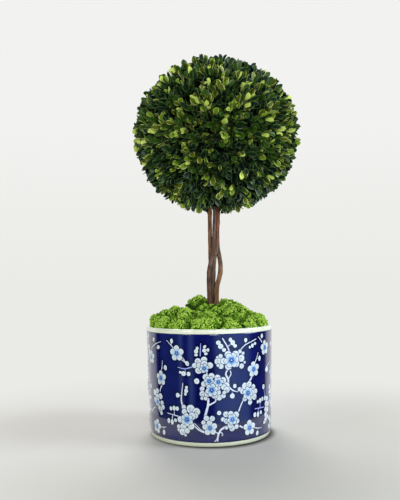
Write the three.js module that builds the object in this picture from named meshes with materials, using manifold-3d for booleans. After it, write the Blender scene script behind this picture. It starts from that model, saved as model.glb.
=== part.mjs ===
// A clipped ball of box on four twined stems, planted in a blue and white porcelain pot dressed with moss.
// Millimetres, +Z up. The origin is the centre of the pot's flat underside.
import * as THREE from "three";
import { mergeVertices } from "three/addons/utils/BufferGeometryUtils.js";
import Module from "manifold-3d";

const wasm = await Module();
wasm.setup();

// Every piece keeps this distance from the piece that carries it.
const SEAT_GAP = 0.3;

// The pot: a straight-sided cylinder that narrows a little to its foot.
const POT_HEIGHT = 172;
const RIM_RADIUS = 102.5;
const WALL_FOOT_RADIUS = 98;
const FOOT_RADIUS = 96.5;
const FOOT_HEIGHT = 6;
const FOOT_CHAMFER = 1;
const WALL_THICKNESS = 6.5;
const FLOOR_THICKNESS = 8;
const FLOOR_FILLET = 5;
const POT_SIDES = 48;
const RIM_ARC_STEPS = 4;

// The planting plug fills the pot and rises to a flat top that the stems stand on.
const PLUG_EDGE_HEIGHT = 150;
const PLUG_TOP_HEIGHT = 186;
const PLUG_TOP_RADIUS = 24;
const PLUG_DOME_STEPS = 3;
const PLUG_SIDES = 24;

// The ball: leaf tips reach an ellipsoid a little wider than it is high.
const BALL_CENTRE = new THREE.Vector3(16.5, 0, 483.5);
const BALL_RADII = new THREE.Vector3(135.5, 135.5, 127);
const CORE_SHARE = 0.75;
const CORE_DETAIL = 3;
const STEM_TIP_HEIGHT = 366;

// The sprigs that stand out of the ball's core.
const SPRIG_COUNT = 108;
const SPRIG_SEED = 3000;
const SPRIG_LEAN = 0.18;
const TWIG_RADIUS = 3.6;
const BUD_LENGTH = 9;
const TWIG_ROOT_SHARE = 0.95;
const GOLDEN_ANGLE = Math.PI * (3 - Math.sqrt(5));
const LEAF_LENGTH = 33;
const LEAF_WIDTH = 21;
const LEAF_THICKNESS = 2.2;
const LEAF_WIDEST = 0.58;
const LEAF_ROOT_DEPTH = 1;
const LIMB_CLEARANCE = 1.2;
const OUTLINE_SLACK = 1.01;
// Each pair of opposite leaves: how far along the twig it sits, and how far its leaves open.
const LEAF_PAIRS = [
  { along: 0.8, opening: 1.0 },
  { along: 1.0, opening: 0.5 },
];
// How far a single leaf departs from its pair: turned about the twig, opened, rolled and slid along it.
const LEAF_STRAY = { turn: 0.4, opening: 0.2, roll: 0.6, slide: 1.6 };

// Each stem's centre line rises through these points, and its radius runs from its foot's to its tip's.
const STEM_SIDES = 8;
const STEM_STEPS = 20;
const STEMS = {
  stem_left: {
    radii: [3.3, 3.0],
    points: [
      [5.3, 10.6, 186], [5.6, 10.4, 236], [5.1, 9.4, 261], [4.0, 5.0, 281],
      [4.0, 1.2, 300], [3.9, -0.6, 327], [4.5, -1.0, 366],
    ],
  },
  stem_front: {
    radii: [3.8, 2.6],
    points: [
      [2.0, -2.4, 186], [1.9, -2.4, 209], [1.2, -3.0, 248], [2.4, -3.2, 264], [5.6, -3.2, 279],
      [9.2, -2.7, 294], [10.5, -3.0, 314], [11.3, -3.0, 334], [12.4, -2.6, 366],
    ],
  },
  stem_middle: {
    radii: [3.3, 3.3],
    points: [
      [6.9, 3.7, 186], [7.1, 3.7, 208], [8.5, 3.5, 248], [9.1, 3.1, 268], [10.8, 2.8, 282],
      [14.2, 2.7, 298], [15.4, 1.7, 314], [16.4, 1.2, 334], [18.3, 0.7, 366],
    ],
  },
  stem_right: {
    radii: [3.9, 3.1],
    points: [
      [12.8, -3.2, 186], [13.0, -3.2, 220], [14.1, -3.0, 233], [17.2, -2.4, 245], [19.8, -1.0, 257],
      [20.5, 0.6, 267], [19.5, 4.6, 279], [17.2, 9.0, 293], [15.4, 10.4, 314], [13.1, 11.2, 366],
    ],
  },
};

// Moss clumps lie in three rings: a close one round the stems and two round the pot's axis.
const MOSS_DETAIL = 1;
const MOSS_SEED = 900;
const MOSS_ROUGHNESS = 0.07;
const STEM_CLUSTER = new THREE.Vector2(8.5, 2);
const MOSS_RINGS = [
  { count: 14, centre: new THREE.Vector2(0, 0), distance: 78, firstAngle: 7, radius: 21.5, top: 189, spread: 4 },
  { count: 9, centre: new THREE.Vector2(0, 0), distance: 52, firstAngle: 30, radius: 24, top: 201, spread: 4 },
];
// The clumps round the stems: bearing from the cluster in degrees, distance, radius and the height of the top.
const STEM_CLUMPS = [
  { bearing: 170, distance: 26, radius: 20, top: 218 },
  { bearing: 232, distance: 25, radius: 17, top: 205 },
  { bearing: 288, distance: 24, radius: 17, top: 206 },
  { bearing: 350, distance: 27, radius: 18, top: 205 },
  { bearing: 42, distance: 28, radius: 18, top: 213 },
  { bearing: 106, distance: 28, radius: 18, top: 211 },
];

const glaze = new THREE.MeshStandardMaterial({ color: 0x1c2c78, roughness: 0.12, metalness: 0 });
const fibre = new THREE.MeshStandardMaterial({ color: 0x4a3a26, roughness: 0.95, metalness: 0 });
const bark = new THREE.MeshStandardMaterial({ color: 0x6e4f38, roughness: 0.8, metalness: 0 });
const moss = new THREE.MeshStandardMaterial({ color: 0x6fa526, roughness: 0.95, metalness: 0 });
const boxLeaf = new THREE.MeshStandardMaterial({ color: 0x3d5a1e, roughness: 0.5, metalness: 0 });

// A repeatable stream of numbers from 0 to 1.
function randomFrom(seed) {
  let state = seed >>> 0;
  return () => {
    state = (state + 0x6d2b79f5) >>> 0;
    let t = state;
    t = Math.imul(t ^ (t >>> 15), t | 1);
    t ^= t + Math.imul(t ^ (t >>> 7), t | 61);
    return ((t ^ (t >>> 14)) >>> 0) / 4294967296;
  };
}

// A closed geometry as a solid that can be cut and joined. Slivers left where vertices merge are dropped.
function toSolid(geometry) {
  const bare = new THREE.BufferGeometry();
  const source = geometry.index ? geometry.toNonIndexed() : geometry;
  bare.setAttribute("position", source.getAttribute("position"));
  const merged = mergeVertices(bare, 1e-3);
  const corners = [];
  for (let i = 0; i < merged.index.count; i += 3) {
    const face = [0, 1, 2].map((k) => merged.index.getX(i + k));
    if (new Set(face).size === 3) corners.push(...face);
  }
  return new wasm.Manifold(
    new wasm.Mesh({
      numProp: 3,
      vertProperties: new Float32Array(merged.attributes.position.array),
      triVerts: new Uint32Array(corners),
    }),
  );
}

function geometryOf(solid) {
  const { numProp, numVert, vertProperties, triVerts } = solid.getMesh();
  const positions = new Float32Array(numVert * 3);
  for (let i = 0; i < numVert; i += 1) {
    positions.set(vertProperties.subarray(i * numProp, i * numProp + 3), i * 3);
  }
  const geometry = new THREE.BufferGeometry();
  geometry.setAttribute("position", new THREE.BufferAttribute(positions, 3));
  geometry.setIndex(new THREE.BufferAttribute(new Uint32Array(triVerts), 1));
  return geometry;
}

function toMesh(name, solid, material) {
  const geometry = geometryOf(solid);
  geometry.computeVertexNormals();
  const mesh = new THREE.Mesh(geometry, material);
  mesh.name = name;
  return mesh;
}

// Joins solids two by two, which is far quicker than one after another.
function join(solids) {
  let left = solids;
  while (left.length > 1) {
    const pairs = [];
    for (let i = 0; i < left.length; i += 2) {
      pairs.push(i + 1 < left.length ? left[i].add(left[i + 1]) : left[i]);
    }
    left = pairs;
  }
  return left[0];
}

function largestBody(solid) {
  const bodies = solid.decompose();
  return bodies.reduce((best, body) => (body.volume() > best.volume() ? body : best));
}

// A profile of [radius, height] pairs turned round the Z axis.
function turned(profile, sides) {
  const points = profile.map(([radius, height]) => new THREE.Vector2(radius, height));
  const geometry = new THREE.LatheGeometry(points, sides);
  geometry.rotateX(Math.PI / 2);
  return toSolid(geometry);
}

// The outer wall's radius at a height, between the foot and the rim.
function wallRadius(height) {
  return THREE.MathUtils.mapLinear(height, FOOT_HEIGHT, POT_HEIGHT, WALL_FOOT_RADIUS, RIM_RADIUS);
}

function innerRadius(height) {
  return wallRadius(height) - WALL_THICKNESS;
}

function pot() {
  const lipRadius = WALL_THICKNESS / 2;
  const lipCentre = [RIM_RADIUS - lipRadius, POT_HEIGHT - lipRadius];
  const lip = [];
  for (let i = 0; i <= RIM_ARC_STEPS; i += 1) {
    const angle = (Math.PI * i) / RIM_ARC_STEPS;
    lip.push([lipCentre[0] + lipRadius * Math.cos(angle), lipCentre[1] + lipRadius * Math.sin(angle)]);
  }
  const floorRadius = innerRadius(FLOOR_THICKNESS);
  return turned(
    [
      [0, 0],
      [FOOT_RADIUS - FOOT_CHAMFER, 0],
      [FOOT_RADIUS, FOOT_CHAMFER],
      [FOOT_RADIUS, FOOT_HEIGHT - 1],
      [wallRadius(FOOT_HEIGHT), FOOT_HEIGHT],
      ...lip,
      [innerRadius(FLOOR_THICKNESS + FLOOR_FILLET), FLOOR_THICKNESS + FLOOR_FILLET],
      [floorRadius - FLOOR_FILLET, FLOOR_THICKNESS],
      [0, FLOOR_THICKNESS],
    ],
    POT_SIDES,
  );
}

// The height of the plug's top at a distance from its axis, raised by a clearance.
function plugProfile(clearance) {
  const profile = [[0, PLUG_TOP_HEIGHT + clearance]];
  const edgeRadius = innerRadius(PLUG_EDGE_HEIGHT) - 1;
  for (let i = 0; i <= PLUG_DOME_STEPS; i += 1) {
    const share = i / PLUG_DOME_STEPS;
    const fall = share ** 1.6;
    profile.push([
      THREE.MathUtils.lerp(PLUG_TOP_RADIUS, edgeRadius, share),
      THREE.MathUtils.lerp(PLUG_TOP_HEIGHT, PLUG_EDGE_HEIGHT, fall) + clearance,
    ]);
  }
  return profile;
}

function plug() {
  const bottom = FLOOR_THICKNESS + SEAT_GAP;
  const shoulder = FLOOR_THICKNESS + FLOOR_FILLET;
  const dome = plugProfile(0);
  return turned(
    [
      [0, bottom],
      [innerRadius(FLOOR_THICKNESS) - FLOOR_FILLET - 1, bottom],
      [innerRadius(shoulder) - 1, shoulder + 1],
      ...dome.reverse(),
    ],
    PLUG_SIDES,
  );
}

// Everything above the plug's top and inside the pot's wall, where moss may lie.
function mossSpace() {
  const dome = plugProfile(SEAT_GAP);
  const edgeHeight = PLUG_EDGE_HEIGHT + SEAT_GAP;
  const ceiling = STEM_TIP_HEIGHT;
  return turned(
    [
      ...dome,
      [innerRadius(edgeHeight) - SEAT_GAP - 0.3, edgeHeight],
      [innerRadius(POT_HEIGHT) - SEAT_GAP - 0.3, POT_HEIGHT],
      [innerRadius(POT_HEIGHT) - SEAT_GAP - 0.3, ceiling],
      [0, ceiling],
    ],
    PLUG_SIDES,
  );
}

// A limb whose sections are level circles, so that both of its ends are flat cuts.
function limb(points, radii, steps, extra = 0) {
  const curve = new THREE.CatmullRomCurve3(points.map((p) => new THREE.Vector3(...p)));
  const positions = [];
  const corners = [];
  for (let i = 0; i <= steps; i += 1) {
    const centre = curve.getPoint(i / steps);
    const radius = THREE.MathUtils.lerp(radii[0], radii[1], i / steps) + extra;
    for (let j = 0; j < STEM_SIDES; j += 1) {
      const angle = (2 * Math.PI * j) / STEM_SIDES;
      positions.push(centre.x + radius * Math.cos(angle), centre.y + radius * Math.sin(angle), centre.z);
    }
  }
  for (let i = 0; i < steps; i += 1) {
    for (let j = 0; j < STEM_SIDES; j += 1) {
      const a = i * STEM_SIDES + j;
      const b = i * STEM_SIDES + ((j + 1) % STEM_SIDES);
      corners.push(a, b, b + STEM_SIDES, a, b + STEM_SIDES, a + STEM_SIDES);
    }
  }
  const last = steps * STEM_SIDES;
  for (let j = 1; j < STEM_SIDES - 1; j += 1) {
    corners.push(0, j + 1, j, last, last + j, last + j + 1);
  }
  const geometry = new THREE.BufferGeometry();
  geometry.setAttribute("position", new THREE.Float32BufferAttribute(positions, 3));
  geometry.setIndex(corners);
  return toSolid(geometry);
}

function stem({ points, radii }) {
  const lifted = points.map(([x, y, z], i) => [x, y, i === 0 ? z + SEAT_GAP : z]);
  return limb(lifted, radii, STEM_STEPS);
}

// A lump of moss before its neighbours are cut away: a ball with soft seeded swellings.
function mossLump(clump, seed) {
  const draw = randomFrom(seed);
  const waves = Array.from({ length: 4 }, () => ({
    way: new THREE.Vector3(draw() - 0.5, draw() - 0.5, draw() - 0.5).multiplyScalar(7),
    phase: draw() * 2 * Math.PI,
  }));
  const geometry = new THREE.IcosahedronGeometry(1, MOSS_DETAIL);
  const position = geometry.getAttribute("position");
  const point = new THREE.Vector3();
  for (let i = 0; i < position.count; i += 1) {
    point.fromBufferAttribute(position, i);
    const swelling = waves.reduce((sum, wave) => sum + Math.sin(wave.way.dot(point) + wave.phase), 0);
    point.multiplyScalar(clump.radius * (1 + MOSS_ROUGHNESS * (swelling - 0.5)));
    position.setXYZ(i, clump.x + point.x, clump.y + point.y, clump.z + point.z);
  }
  return toSolid(geometry);
}

function mossClumps() {
  const clumps = [];
  MOSS_RINGS.forEach((ring, ringNumber) => {
    const draw = randomFrom(MOSS_SEED + ringNumber);
    for (let i = 0; i < ring.count; i += 1) {
      const angle = THREE.MathUtils.degToRad(ring.firstAngle + (360 * (i + (draw() - 0.5) * 0.35)) / ring.count);
      const radius = ring.radius * (1 + (draw() - 0.5) * 0.16);
      const top = ring.top + (draw() - 0.5) * 2 * ring.spread;
      clumps.push({
        x: ring.centre.x + ring.distance * Math.cos(angle),
        y: ring.centre.y + ring.distance * Math.sin(angle),
        z: top - radius,
        radius,
      });
    }
  });
  for (const { bearing, distance, radius, top } of STEM_CLUMPS) {
    const angle = THREE.MathUtils.degToRad(bearing);
    clumps.push({
      x: STEM_CLUSTER.x + distance * Math.cos(angle),
      y: STEM_CLUSTER.y + distance * Math.sin(angle),
      z: top - radius,
      radius,
    });
  }
  return clumps;
}

// Half of space on the near side of the plane where two lumps would meet, less half the gap between them.
function nearSide(clump, neighbour) {
  const here = new THREE.Vector3(clump.x, clump.y, clump.z);
  const way = new THREE.Vector3(neighbour.x, neighbour.y, neighbour.z).sub(here);
  const distance = way.length();
  way.divideScalar(distance);
  const meeting = (distance ** 2 + clump.radius ** 2 - neighbour.radius ** 2) / (2 * distance);
  const size = 4 * clump.radius;
  const block = new THREE.BoxGeometry(size, size, size);
  block.translate(0, 0, meeting - SEAT_GAP / 2 - size / 2);
  block.applyQuaternion(new THREE.Quaternion().setFromUnitVectors(new THREE.Vector3(0, 0, 1), way));
  block.translate(here.x, here.y, here.z);
  return toSolid(block);
}

function mossPieces() {
  const clumps = mossClumps();
  const space = mossSpace();
  const stems = join(
    Object.values(STEMS).map(({ points, radii }) => limb(points, radii, STEM_STEPS, SEAT_GAP + 0.2)),
  );
  return clumps.map((clump, i) => {
    let piece = mossLump(clump, MOSS_SEED + 10 + i).intersect(space).subtract(stems);
    for (const neighbour of clumps) {
      const apart = Math.hypot(neighbour.x - clump.x, neighbour.y - clump.y, neighbour.z - clump.z);
      const near = apart < 1.35 * (clump.radius + neighbour.radius);
      if (neighbour !== clump && near) piece = piece.intersect(nearSide(clump, neighbour));
    }
    return largestBody(piece);
  });
}

// How far out a point lies: 1 on the ellipsoid that the leaf tips reach.
function outlineShare(point) {
  return point.clone().sub(BALL_CENTRE).divide(BALL_RADII).length();
}

// The point where a line from inside the ball leaves it, as a distance from its start.
function distanceToOutline(start, way) {
  const p = start.clone().sub(BALL_CENTRE).divide(BALL_RADII);
  const d = way.clone().divide(BALL_RADII);
  const a = d.dot(d);
  const b = 2 * p.dot(d);
  const c = p.dot(p) - 1;
  return (-b + Math.sqrt(b * b - 4 * a * c)) / (2 * a);
}

// The sprigs, spread evenly over the core: each twig's root, direction and reach, and its leaves' angles.
function sprigs() {
  const found = [];
  for (let i = 0; i < SPRIG_COUNT; i += 1) {
    const draw = randomFrom(SPRIG_SEED + i);
    const height = 1 - (2 * (i + 0.5)) / SPRIG_COUNT;
    const azimuth = i * GOLDEN_ANGLE + (draw() - 0.5) * 0.25;
    const level = Math.sqrt(1 - height * height);
    const out = new THREE.Vector3(level * Math.cos(azimuth), level * Math.sin(azimuth), height);
    const lean = new THREE.Vector3(draw() - 0.5, draw() - 0.5, draw() - 0.5).multiplyScalar(2 * SPRIG_LEAN);
    const way = out.clone().add(lean).normalize();
    const root = out.clone().multiply(BALL_RADII).multiplyScalar(CORE_SHARE * TWIG_ROOT_SHARE).add(BALL_CENTRE);
    const reach = distanceToOutline(root, way) * (0.955 + 0.045 * draw());
    const turn = draw() * Math.PI;
    const leaves = LEAF_PAIRS.flatMap(({ along, opening }, pair) =>
      [0, Math.PI].map((half) => ({
        along,
        turn: turn + half + (pair * Math.PI) / 2 + (draw() - 0.5) * LEAF_STRAY.turn,
        opening: opening + (draw() - 0.5) * LEAF_STRAY.opening,
        roll: (draw() - 0.5) * LEAF_STRAY.roll,
        slide: -draw() * LEAF_STRAY.slide,
      })),
    );
    found.push({ root, way, reach, leaves });
  }
  return found;
}

// A unit vector square to a direction, turned about it by an angle.
function across(way, turn) {
  const helper = Math.abs(way.z) < 0.9 ? new THREE.Vector3(0, 0, 1) : new THREE.Vector3(1, 0, 0);
  const side = new THREE.Vector3().crossVectors(helper, way).normalize();
  return side.applyAxisAngle(way, turn);
}

// A leaf with a flat underside and a ridge, from its root along a direction and across a side vector.
function leaf(root, way, side) {
  const up = new THREE.Vector3().crossVectors(way, side);
  const at = (along, sideways, rise) =>
    root.clone().addScaledVector(way, along).addScaledVector(side, sideways).addScaledVector(up, rise);
  const corners = [
    at(-LEAF_ROOT_DEPTH, 0, 0),
    at(LEAF_LENGTH, 0, 0),
    at(LEAF_LENGTH * LEAF_WIDEST, -LEAF_WIDTH / 2, 0),
    at(LEAF_LENGTH * LEAF_WIDEST, LEAF_WIDTH / 2, 0),
    at(LEAF_LENGTH * LEAF_WIDEST, 0, LEAF_THICKNESS),
  ];
  const geometry = new THREE.BufferGeometry().setFromPoints(corners);
  geometry.setIndex([0, 3, 2, 0, 4, 3, 0, 2, 4, 1, 2, 3, 1, 3, 4, 1, 4, 2]);
  return toSolid(geometry);
}

// A three-sided twig that ends in a pointed bud past its last leaves.
function twig(root, way, length) {
  const geometry = new THREE.ConeGeometry(TWIG_RADIUS, length + BUD_LENGTH, 3);
  geometry.translate(0, (length + BUD_LENGTH) / 2, 0);
  geometry.applyQuaternion(new THREE.Quaternion().setFromUnitVectors(new THREE.Vector3(0, 1, 0), way));
  geometry.translate(root.x, root.y, root.z);
  return toSolid(geometry);
}

// The stems' centre lines up to their tips, as points for the clearance test.
function stemSamples() {
  return Object.values(STEMS).flatMap(({ points, radii }) => {
    const curve = new THREE.CatmullRomCurve3(points.map((p) => new THREE.Vector3(...p)));
    return curve.getPoints(60).map((point) => ({ point, radius: Math.max(...radii) }));
  });
}

function touchesStem(samples, from, to, halfWidth) {
  const line = new THREE.Line3(from, to);
  const nearest = new THREE.Vector3();
  return samples.some(({ point, radius }) => {
    line.closestPointToPoint(point, true, nearest);
    return nearest.distanceTo(point) < radius + LIMB_CLEARANCE + halfWidth;
  });
}

function ball() {
  const samples = stemSamples();
  const core = new THREE.IcosahedronGeometry(1, CORE_DETAIL);
  core.scale(...BALL_RADII.clone().multiplyScalar(CORE_SHARE).toArray());
  core.translate(...BALL_CENTRE.toArray());
  const solids = [toSolid(core)];
  // Each stem goes on inside the ball from just above its tip into the core.
  for (const { points, radii } of Object.values(STEMS)) {
    const [x, y] = points.at(-1);
    const inside = BALL_CENTRE.z - BALL_RADII.z * CORE_SHARE * 0.8;
    solids.push(limb([[x, y, STEM_TIP_HEIGHT + SEAT_GAP], [x, y, inside]], [radii[1], radii[1]], 1));
  }
  for (const { root, way, reach, leaves } of sprigs()) {
    const length = reach - LEAF_LENGTH * Math.cos(LEAF_PAIRS.at(-1).opening);
    const tip = root.clone().addScaledVector(way, length);
    if (touchesStem(samples, root, tip, TWIG_RADIUS)) continue;
    solids.push(twig(root, way, length));
    for (const { along, turn, opening, roll, slide } of leaves) {
      const from = root.clone().addScaledVector(way, length * along + slide);
      const outward = across(way, turn);
      const leafWay = way.clone().multiplyScalar(Math.cos(opening)).addScaledVector(outward, Math.sin(opening));
      const leafTip = from.clone().addScaledVector(leafWay, LEAF_LENGTH);
      const outside = outlineShare(leafTip) > OUTLINE_SLACK;
      if (outside || touchesStem(samples, from, leafTip, LEAF_WIDTH / 2)) continue;
      const side = new THREE.Vector3().crossVectors(way, outward).applyAxisAngle(leafWay, roll);
      solids.push(leaf(from, leafWay, side));
    }
  }
  return largestBody(wasm.Manifold.union(solids));
}

const plant = new THREE.Group();
plant.add(toMesh("pot", pot(), glaze));
plant.add(toMesh("planting_plug", plug(), fibre));
for (const [name, shape] of Object.entries(STEMS)) {
  plant.add(toMesh(name, stem(shape), bark));
}
mossPieces().forEach((piece, i) => {
  plant.add(toMesh(`moss_clump_${String(i + 1).padStart(2, "0")}`, piece, moss));
});
plant.add(toMesh("foliage_ball", ball(), boxLeaf));

export default plant;
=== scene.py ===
"""The looks of a box topiary ball in a blue and white pot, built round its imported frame.

Lengths are in millimetres until a mesh is made, and in metres in materials and on the stage.
The pot's axis is Z, and the view looks along +Y.
"""

import math

import bmesh
import bpy
import numpy as np
from mathutils import Matrix, Vector, noise


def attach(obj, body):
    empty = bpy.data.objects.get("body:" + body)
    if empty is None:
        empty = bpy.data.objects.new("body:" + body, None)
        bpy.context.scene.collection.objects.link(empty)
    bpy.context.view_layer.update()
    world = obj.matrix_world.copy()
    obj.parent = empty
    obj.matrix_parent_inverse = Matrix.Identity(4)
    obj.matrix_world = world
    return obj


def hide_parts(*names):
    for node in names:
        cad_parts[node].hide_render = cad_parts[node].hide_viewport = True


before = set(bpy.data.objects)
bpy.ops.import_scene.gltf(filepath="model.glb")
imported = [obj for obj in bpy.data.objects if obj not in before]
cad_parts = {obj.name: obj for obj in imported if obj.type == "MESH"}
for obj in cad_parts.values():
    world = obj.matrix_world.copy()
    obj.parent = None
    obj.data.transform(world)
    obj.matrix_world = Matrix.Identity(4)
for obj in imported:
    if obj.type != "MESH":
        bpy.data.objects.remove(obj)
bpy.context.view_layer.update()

MM = 0.001
GOLDEN_ANGLE = math.pi * (3 - math.sqrt(5))

# The pot, as in the part's source.
POT_HEIGHT = 172
RIM_RADIUS = 102.5
WALL_FOOT_RADIUS = 98
FOOT_RADIUS = 96.5
FOOT_HEIGHT = 6
WALL_THICKNESS = 6.5
FLOOR_THICKNESS = 8

# The ball and the sprigs that grow out of it, as in the part's source.
BALL_CENTRE = np.array([16.5, 0, 483.5])
BALL_RADII = np.array([135.5, 135.5, 127])
CORE_SHARE = 0.75
TWIG_ROOT_SHARE = 0.95
SPRIG_COUNT = 108
SPRIG_SEED = 3000
SPRIG_TURN = 0.25
SPRIG_LEAN = 0.18
SPRIG_REACH = 0.955

# The stems, as in the part's source: points up the middle, and the radius at foot and tip.
STEMS = {
    "stem_left": {
        "radii": (3.3, 3.0),
        "points": [
            (5.3, 10.6, 186), (5.6, 10.4, 236), (5.1, 9.4, 261), (4.0, 5.0, 281),
            (4.0, 1.2, 300), (3.9, -0.6, 327), (4.5, -1.0, 366),
        ],
    },
    "stem_front": {
        "radii": (3.8, 2.6),
        "points": [
            (2.0, -2.4, 186), (1.9, -2.4, 209), (1.2, -3.0, 248), (2.4, -3.2, 264), (5.6, -3.2, 279),
            (9.2, -2.7, 294), (10.5, -3.0, 314), (11.3, -3.0, 334), (12.4, -2.6, 366),
        ],
    },
    "stem_middle": {
        "radii": (3.3, 3.3),
        "points": [
            (6.9, 3.7, 186), (7.1, 3.7, 208), (8.5, 3.5, 248), (9.1, 3.1, 268), (10.8, 2.8, 282),
            (14.2, 2.7, 298), (15.4, 1.7, 314), (16.4, 1.2, 334), (18.3, 0.7, 366),
        ],
    },
    "stem_right": {
        "radii": (3.9, 3.1),
        "points": [
            (12.8, -3.2, 186), (13.0, -3.2, 220), (14.1, -3.0, 233), (17.2, -2.4, 245), (19.8, -1.0, 257),
            (20.5, 0.6, 267), (19.5, 4.6, 279), (17.2, 9.0, 293), (15.4, 10.4, 314), (13.1, 11.2, 366),
        ],
    },
}

# The moss clumps, as in the part's source: two rings round the pot's axis and a close one round the stems.
MOSS_SEED = 900
MOSS_RINGS = [
    {"count": 14, "distance": 78, "first": 7, "radius": 21.5, "top": 189, "spread": 4},
    {"count": 9, "distance": 52, "first": 30, "radius": 24, "top": 201, "spread": 4},
]
STEM_CLUSTER = (8.5, 2)
STEM_CLUMPS = [
    (170, 26, 20, 218), (232, 25, 17, 205), (288, 24, 17, 206),
    (350, 27, 18, 205), (42, 28, 18, 213), (106, 28, 18, 211),
]


# ---------------------------------------------------------------- numbers and meshes


def random_from(seed):
    """The source's seeded stream of numbers from 0 to 1."""
    state = seed & 0xFFFFFFFF

    def draw():
        nonlocal state
        state = (state + 0x6D2B79F5) & 0xFFFFFFFF
        t = state
        t = ((t ^ (t >> 15)) * (t | 1)) & 0xFFFFFFFF
        t ^= (t + ((t ^ (t >> 7)) * (t | 61) & 0xFFFFFFFF)) & 0xFFFFFFFF
        return ((t ^ (t >> 14)) & 0xFFFFFFFF) / 4294967296

    return draw


def unit(vectors):
    return vectors / np.linalg.norm(vectors, axis=-1, keepdims=True)


def lerp(a, b, share):
    return a + (b - a) * share


def smooth_curve(points, count):
    """A centripetal Catmull-Rom curve through the points, as the source draws its limbs."""
    points = np.asarray(points, float)
    padded = np.vstack([2 * points[0] - points[1], points, 2 * points[-1] - points[-2]])
    made = []
    for share in np.linspace(0, len(points) - 1, count):
        i = min(int(share), len(points) - 2)
        t = share - i
        a, b, c, d = padded[i : i + 4]
        gaps = [max(np.linalg.norm(q - p) ** 0.5, 1e-4) for p, q in ((a, b), (b, c), (c, d))]
        leave = ((b - a) / gaps[0] - (c - a) / (gaps[0] + gaps[1]) + (c - b) / gaps[1]) * gaps[1]
        arrive = ((c - b) / gaps[1] - (d - b) / (gaps[1] + gaps[2]) + (d - c) / gaps[2]) * gaps[1]
        made.append(
            b + leave * t + (3 * (c - b) - 2 * leave - arrive) * t**2 + (2 * (b - c) + leave + arrive) * t**3
        )
    return np.array(made)


class Bag:
    """Gathers the points and faces of many small things, for one joined mesh."""

    def __init__(self):
        self.points = []
        self.faces = []
        self.count = 0

    def add(self, points, *blocks):
        points = np.asarray(points, float).reshape(-1, 3)
        for block in blocks:
            self.faces.append(np.asarray(block, int) + self.count)
        self.points.append(points)
        self.count += len(points)

    def add_copies(self, points, faces):
        """points is copies x points x 3, and each copy has the same faces."""
        copies, size = points.shape[:2]
        first = (np.arange(copies) * size)[:, None, None]
        self.add(points, (faces[None] + first).reshape(-1, faces.shape[1]))

    def add_rings(self, rings, ends, flipped=False):
        """A closed shape of rings of points, each joined to the next, with its two end points."""
        rows, sides = rings.shape[:2]
        count = rows * sides
        first = ring_fan(count, 0, sides)[:, ::-1]
        blocks = [grid_faces(rows, sides, True), first, ring_fan(count + 1, count - sides, sides)]
        if flipped:
            blocks = [block[:, ::-1] for block in blocks]
        self.add(np.vstack([rings.reshape(-1, 3), ends]), *blocks)


def make_mesh(name, bag):
    """One mesh of all that the bag holds, without the points that no face uses."""
    points = np.concatenate(bag.points) * MM
    loops = np.concatenate([block.ravel() for block in bag.faces])
    used, loops = np.unique(loops, return_inverse=True)
    points = points[used]
    sizes = np.concatenate([np.full(len(block), block.shape[1]) for block in bag.faces])
    mesh = bpy.data.meshes.new(name)
    mesh.vertices.add(len(points))
    mesh.vertices.foreach_set("co", points.astype(np.float32).ravel())
    mesh.loops.add(len(loops))
    mesh.loops.foreach_set("vertex_index", loops.astype(np.int32))
    mesh.polygons.add(len(sizes))
    mesh.polygons.foreach_set("loop_start", (np.cumsum(sizes) - sizes).astype(np.int32))
    mesh.update(calc_edges=True)
    mesh.validate()
    return mesh


def new_object(name, data):
    made = bpy.data.objects.new(name, data)
    bpy.context.scene.collection.objects.link(made)
    return made


def make_piece(name, bag, material, nodes=(), smooth=True):
    """One visible piece of the plant or its pot, riding on the part's only body."""
    mesh = make_mesh(name, bag)
    mesh.polygons.foreach_set("use_smooth", np.full(len(mesh.polygons), smooth))
    mesh.materials.append(material)
    piece = new_object(name, mesh)
    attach(piece, "root")
    if nodes:
        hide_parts(*nodes)
    return piece


def grid_faces(rows, columns, closed):
    """Quads over rows of points, each row joined to the next, and closed round if asked."""
    across = columns if closed else columns - 1
    i, j = np.meshgrid(np.arange(rows - 1), np.arange(across), indexing="ij")
    k = (j + 1) % columns
    quads = np.stack([i * columns + j, i * columns + k, (i + 1) * columns + k, (i + 1) * columns + j], -1)
    return quads.reshape(-1, 4)


def ring_fan(centre, first, columns):
    """Triangles from a centre point to a ring of points."""
    j = np.arange(columns)
    return np.stack([np.full(columns, centre), first + j, first + (j + 1) % columns], -1)


def circle(sides):
    """Points round a flat circle of radius 1."""
    angles = 2 * np.pi * np.arange(sides) / sides
    return np.stack([np.cos(angles), np.sin(angles), 0 * angles], -1)


def turned(bag, profile, sides):
    """A solid of revolution. The profile runs from the axis out, up and back to the axis."""
    places = np.array(profile, float)[:, None]
    rings = places[..., :1] * circle(sides) + places[..., 1:] * [0, 0, 1]
    bag.add_rings(rings[1:-1], rings[[0, -1], 0])


def tube(bag, path, radii, sides):
    """A round tube along a path, closed at both ends."""
    path = np.asarray(path, float)
    ways = unit(np.gradient(path, axis=0))
    helper = np.where(np.abs(ways[:, 2:]) < 0.9, [[0, 0, 1.0]], [[1.0, 0, 0]])
    side = unit(np.cross(ways, helper))
    over = np.cross(side, ways)
    ring = circle(sides)
    around = side[:, None] * ring[:, :1] - over[:, None] * ring[:, 1:2]
    bag.add_rings(path[:, None] + np.asarray(radii)[:, None, None] * around, path[[0, -1]], flipped=True)


# ---------------------------------------------------------------- materials

GLAZE_WAVES = 24
GLAZE_RELIEF = (0.25, 0.0008)
FOOT_GLAZE = (0.002, 0.009)
BARK_CHANGE = (0.33, 0.39)
BARK_WANDER = 0.16
LEAF_ROUGHNESS = (0.32, 0.5)


def srgb(red, green, blue):
    """A colour as a linear one, from the 0 to 255 values that a screen shows."""
    parts = [c / 255 for c in (red, green, blue)]
    linear = [c / 12.92 if c <= 0.04045 else ((c + 0.055) / 1.055) ** 2.4 for c in parts]
    return (*linear, 1)


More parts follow.
